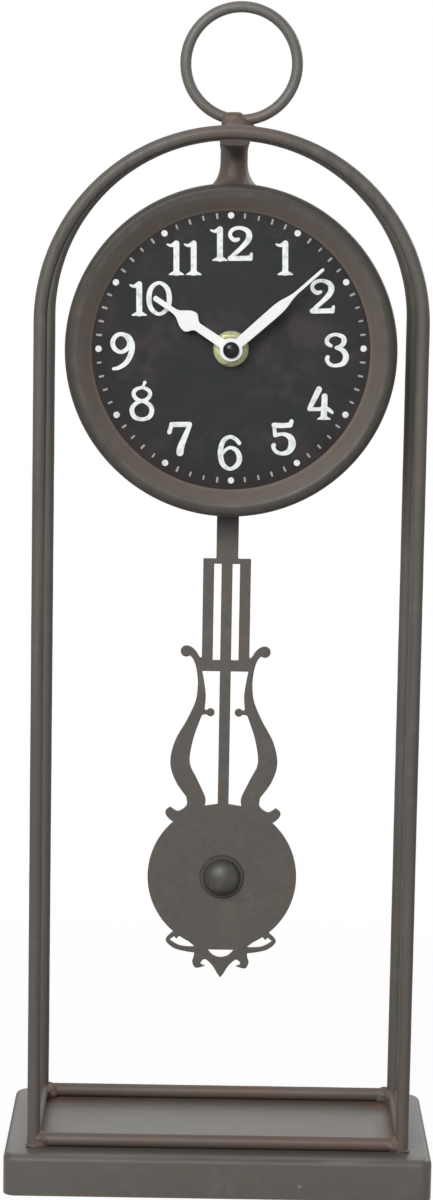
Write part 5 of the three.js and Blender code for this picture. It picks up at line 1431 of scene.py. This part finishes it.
def plate_openings():
    """Openings of the right half: grid slot, lyre window and the loop under the disc."""
    grid = [(2.1, GRID_TOP - 2), (2.1, GRID_FOOT), (4.95, GRID_FOOT), (4.95, GRID_TOP - 2)]
    nub = lyre((0, 0.69))[0][1]
    window = [*lyre((2.1, 1)), (2.1, rim_height(2.1, 1)), (7.05, rim_height(7.05, 1))]
    follow(window, *lyre((7.05, 0.05), (10.15, 0.18), (13.15, 0.31), (12.05, 0.48)), (9.4, nub - 2.8))
    window += raised(nub, (8.8, -1.3), (8.4, -0.9), (7.6, -0.8), (6.7, -0.8))
    window += arc((5.45, nub), 1.55, 1.55, -0.2, -1.8, 20)
    window += raised(nub, (7.0, 0.8), (7.5, 0.9), (7.75, 1.3))
    follow(window, *lyre((7.4, 0.81), (8, 0.91), (8.9, 1)))
    end_x, end_z = on_rim(LOOP_ANGLE)
    loop = [(10, rim_height(10) - 1)]
    follow(loop, *raised(DISC_FOOT, (13, 0.7), (16.6, 1.3), (20.1, 3.4)))
    loop += [(end_x - 0.4, end_z - 2), (end_x - 1.2, end_z - 3)]
    loop += [(x, rim_height(x)) for x in (16.2, 14.5, 12.7)]
    return [grid, window, loop]


class CLOCK_OT_pendulum(bpy.types.Operator):
    """Makes the pierced lyre plate, its domed boss and the stud behind it."""

    bl_idname = "clock.pendulum"
    bl_label = "Pendulum"

    def execute(self, context):
        look = context.scene.clock_pendulum
        body = context.scene.clock_frame
        half = plate_outline()
        outer = clean(half + mirrored(half)[1:-1])
        low, high = limits("pendulum_plate")
        crescent = flowing(raised(DISC_FOOT, (-5.1, -0.3), (-3, -2.5), (0, -3.4), (3, -2.5), (5.1, -0.3)))
        holes = [clean(crescent), raised(high.z, (-1.55, -2.5), (1.55, -2.5), (1.55, -7.6), (-1.55, -7.6))]
        for opening in plate_openings():
            holes.extend((clean(opening), clean(mirrored(opening))))
        loops = [wound(outer, True)] + [wound(hole, False) for hole in holes]
        mesh = sheet("lyre", loops, low.y, high.y, look.edge / MM)
        steel = aged_steel(body, "pendulum_steel", steel=look.steel, brown=look.brown, browning=0.5,
                           stretch=(1, 1, 1), rings=(BOB.x, -0.00075, BOB.z))
        piece("lyre_plate", mesh, "pendulum", "aged_steel", steel, "pendulum_plate")
        low, high = limits("bob_boss")
        radius = look.boss_radius / MM
        step = high.y - 0.8
        crown = look.boss_crown / MM
        profile = raised(high.y, (0, -3), (1.6, -3), (1.6, 0), (8.0, 0), (8.2, -0.2))
        profile += [(8.2, step + 0.25), (7.95, step), (radius + 0.12, step)]
        profile += arc((0, step), radius, -crown, 0.02, 0.5, 20)[:-1] + [(0, step - crown)]
        boss = aged_steel(body, "boss_steel", steel=look.boss, brown=look.brown, gloss=0.5)
        mesh = turned("boss", profile, 96, BOB_AXIS)
        piece("boss_dome", mesh, "pendulum", "aged_steel", boss, "bob_boss")
        low, high = limits("bob_stud")
        profile = [(0, low.y), (1.4, low.y), (1.5, low.y + 0.1)]
        profile += raised(high.y, (1.5, -1.2), (4, -1.2), (4, -0.6))
        profile += arc((0, high.y - 0.6), 4, 0.6, 0, 0.5, 10)[1:-1] + [(0, high.y)]
        mesh = turned("stud", profile, 64, BOB_AXIS)
        piece("stud_head", mesh, "pendulum", "aged_steel", boss, "bob_stud")
        return {"FINISHED"}


class CLOCK_OT_movement(bpy.types.Operator):
    """Finishes the quartz movement, its cell and the pendulum's lever."""

    bl_idname = "clock.movement"
    bl_label = "Movement"

    def execute(self, context):
        case = plain_finish("case_plastic", srgb(30, 30, 32), srgb(40, 40, 42), 380, 0.5, gloss=0.4)
        natural = plain_finish("natural_plastic", srgb(226, 223, 212), srgb(214, 211, 198), 300, 0.45)
        bright = plain_finish("bright_steel", srgb(184, 184, 181), srgb(160, 160, 158), 500, 0.32,
                              metal=0.9, stretch=(1, 1, 0.1))
        board = plain_finish("board_green", srgb(30, 88, 52), srgb(24, 72, 44), 420, 0.5)
        softened("rear_cover", 0.35, "movement_cover", "frame", "case_plastic", case)
        softened("front_plate", 0.3, "movement_front", "frame", "case_plastic", case)
        softened("setting_knob", 0.25, "setting_wheel", "setting", "case_plastic", case)
        softened("pendulum_lever", 0.2, "pendulum_arm", "pendulum", "wheel_plastic", natural)
        piece("battery_cell", self.cell(), "frame", "cell_jacket", cell_jacket(), "battery")
        keep_nodes(case, "drive_unit")
        keep_nodes(natural, "hour_wheel", "minute_wheel", "cannon_pinion", "centre_wheel", "drive_pinion")
        keep_nodes(bright, "centre_arbor", "stator_core", "crystal", "positive_contact",
                   "negative_contact", "pivot_pin", "lever_magnet")
        keep_nodes(wound_copper(), "drive_coil", "impulse_coil")
        keep_nodes(board, "circuit_board")
        return {"FINISHED"}

    @staticmethod
    def cell():
        """Round cell with rolled rims, a recessed flat end and its raised contact."""
        low, high = limits("battery")
        heart = (low + high) / 2
        radius = (high.z - low.z) / 2
        left = low.x
        right = high.x - 1.2
        profile = [(0, left + 0.3), (radius - 2, left + 0.3), (radius - 1.5, left)]
        profile += arc((radius - 0.6, left + 0.6), 0.6, 0.6, 1.5, 2, 6)
        profile += arc((radius - 0.6, right - 0.6), 0.6, 0.6, 0, 0.5, 6)
        profile += [(radius - 1.4, right), (radius - 1.8, right - 0.4), (3.2, right - 0.4), (2.7, right)]
        profile += arc((2.1, high.x - 0.5), 0.5, 0.5, 0, 0.5, 5) + [(0, high.x)]
        return mesh_of("cell", *lathe(profile, 72, (0, heart.y, heart.z), (1, 0, 0)))


def seen_rays(graph):
    """1 for rays that show the backdrop: from the camera, mirrored or passed through glass."""
    ray = graph.node("ShaderNodeLightPath", out="Is Camera Ray")
    return (ray + ray.twin("Is Glossy Ray") + ray.twin("Is Transmission Ray")).above(0.5)


class CLOCK_OT_stage(bpy.types.Operator):
    """Sets the white floor and background, the soft lights and the camera."""

    bl_idname = "clock.stage"
    bl_label = "Stage"

    def execute(self, context):
        look = context.scene.clock_stage
        scene = context.scene
        mesh = bpy.data.meshes.new("floor")
        mesh.from_pydata([(-6, -4, 0), (6, -4, 0), (6, 14, 0), (-6, 14, 0)], [], [(0, 1, 2, 3)])
        mesh.materials.append(self.floor())
        link("floor", mesh)
        self.world(scene, look)
        aim = Vector((0, 0, 0.22))
        self.light("key_light", (-0.5, -1.42, 1.08), aim, look.key, 1.0)
        self.light("top_light", (-0.1, 0.3, 1.5), aim, look.top, 0.7)
        self.light("fill_light", (0.15, -1.6, 0.6), aim, look.fill, 0.9)
        self.light("rear_light", (1.2, 1.2, 0.9), aim, look.rear, 1.0)
        self.camera(scene, look)
        scene.view_settings.view_transform = "Standard"
        return {"FINISHED"}

    @staticmethod
    def floor():
        finish = Finish("floor_white")
        seen = seen_rays(finish)
        fleck = finish.noise(30, 3, 0.5)
        finish.set(Base_Color=finish.mix(fleck, srgb(132, 132, 132), srgb(140, 140, 140)), Roughness=0.8,
                   Specular_IOR_Level=0.0)
        glow = finish.node("ShaderNodeEmission", sockets={"Color": (1, 1, 1, 1), "Strength": 1.0})
        lit = Sock(finish, finish.shader.outputs[0])
        # Under the clock the floor lets a little of its shadow through; further off it is plain white.
        near = 0.975
        white = finish.band(finish.distance((0, 0, 0)), 0.15, 0.5) * (1 - near) + near
        both = finish.node("ShaderNodeMixShader", sockets={0: seen * white, 1: lit, 2: glow})
        finish.feed(finish.tree.nodes["Material Output"].inputs["Surface"], both)
        return finish.material

    @staticmethod
    def world(scene, look):
        scene.world = bpy.data.worlds.new("studio")
        scene.world.use_nodes = True
        graph = Graph(scene.world.node_tree)
        backdrop = graph.tree.nodes["Background"]
        graph.feed(backdrop.inputs["Color"], (1, 1, 1, 1))
        graph.feed(backdrop.inputs["Strength"], seen_rays(graph) * (1 - look.ambient) + look.ambient)

    @staticmethod
    def light(name, place, aim, power, size):
        lamp = bpy.data.lights.new(name, "AREA")
        lamp.energy = power
        lamp.shape = "DISK"
        lamp.size = size
        made = link(name, lamp)
        made.location = place
        made.rotation_euler = (aim - Vector(place)).to_track_quat("-Z", "Y").to_euler()

    @staticmethod
    def camera(scene, look):
        lens = bpy.data.cameras.new("photo_camera")
        sensor = 36
        lens.sensor_width = sensor
        lens.lens = sensor * look.focal
        lens.clip_start = 0.05
        lens.clip_end = 60
        made = link("photo_camera", lens)
        level = math.cos(look.pitch)
        forward = Vector((math.sin(look.yaw) * level, math.cos(look.yaw) * level, math.sin(look.pitch)))
        right = Vector((math.cos(look.yaw), -math.sin(look.yaw), 0))
        up = right.cross(forward)
        tilted = right * math.cos(look.roll) + up * math.sin(look.roll)
        upright = up * math.cos(look.roll) - right * math.sin(look.roll)
        turn = Matrix((tilted, upright, -forward)).transposed()
        made.matrix_world = Matrix.LocRotScale(Vector(look.camera_place), turn.to_quaternion(), None)
        scene.camera = made


PIECE_OPERATORS = (CLOCK_OT_base, CLOCK_OT_rods, CLOCK_OT_crown, CLOCK_OT_welds, CLOCK_OT_drum,
                   CLOCK_OT_dial, CLOCK_OT_hands, CLOCK_OT_pendulum, CLOCK_OT_movement, CLOCK_OT_stage)
LOOKS = {"clock_frame": FrameLook, "clock_dial": DialLook, "clock_pendulum": PendulumLook,
         "clock_stage": StageLook}


class CLOCK_PT_pieces(bpy.types.Panel):
    """Lists the clock's sizes, colours and operators."""

    bl_label = "Table clock"
    bl_idname = "CLOCK_PT_pieces"
    bl_space_type = "VIEW_3D"
    bl_region_type = "UI"
    bl_category = "Clock"

    def draw(self, context):
        for name, group in LOOKS.items():
            box = self.layout.box()
            box.label(text=group.__doc__)
            for title in group.__annotations__:
                box.prop(getattr(context.scene, name), title)
        for operator in PIECE_OPERATORS:
            self.layout.operator(operator.bl_idname)


CLASSES = (*LOOKS.values(), *PIECE_OPERATORS, CLOCK_PT_pieces)


def register():
    for entry in CLASSES:
        bpy.utils.register_class(entry)
    for name, group in LOOKS.items():
        setattr(bpy.types.Scene, name, PointerProperty(type=group))


def unregister():
    for name in LOOKS:
        delattr(bpy.types.Scene, name)
    for entry in reversed(CLASSES):
        bpy.utils.unregister_class(entry)


def main():
    register()
    bpy.ops.clock.base()
    bpy.ops.clock.rods()
    bpy.ops.clock.crown()
    bpy.ops.clock.welds()
    bpy.ops.clock.drum()
    bpy.ops.clock.dial()
    bpy.ops.clock.hands()
    bpy.ops.clock.pendulum()
    bpy.ops.clock.movement()
    bpy.ops.clock.stage()
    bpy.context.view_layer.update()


if __name__ == "__main__":
    main()
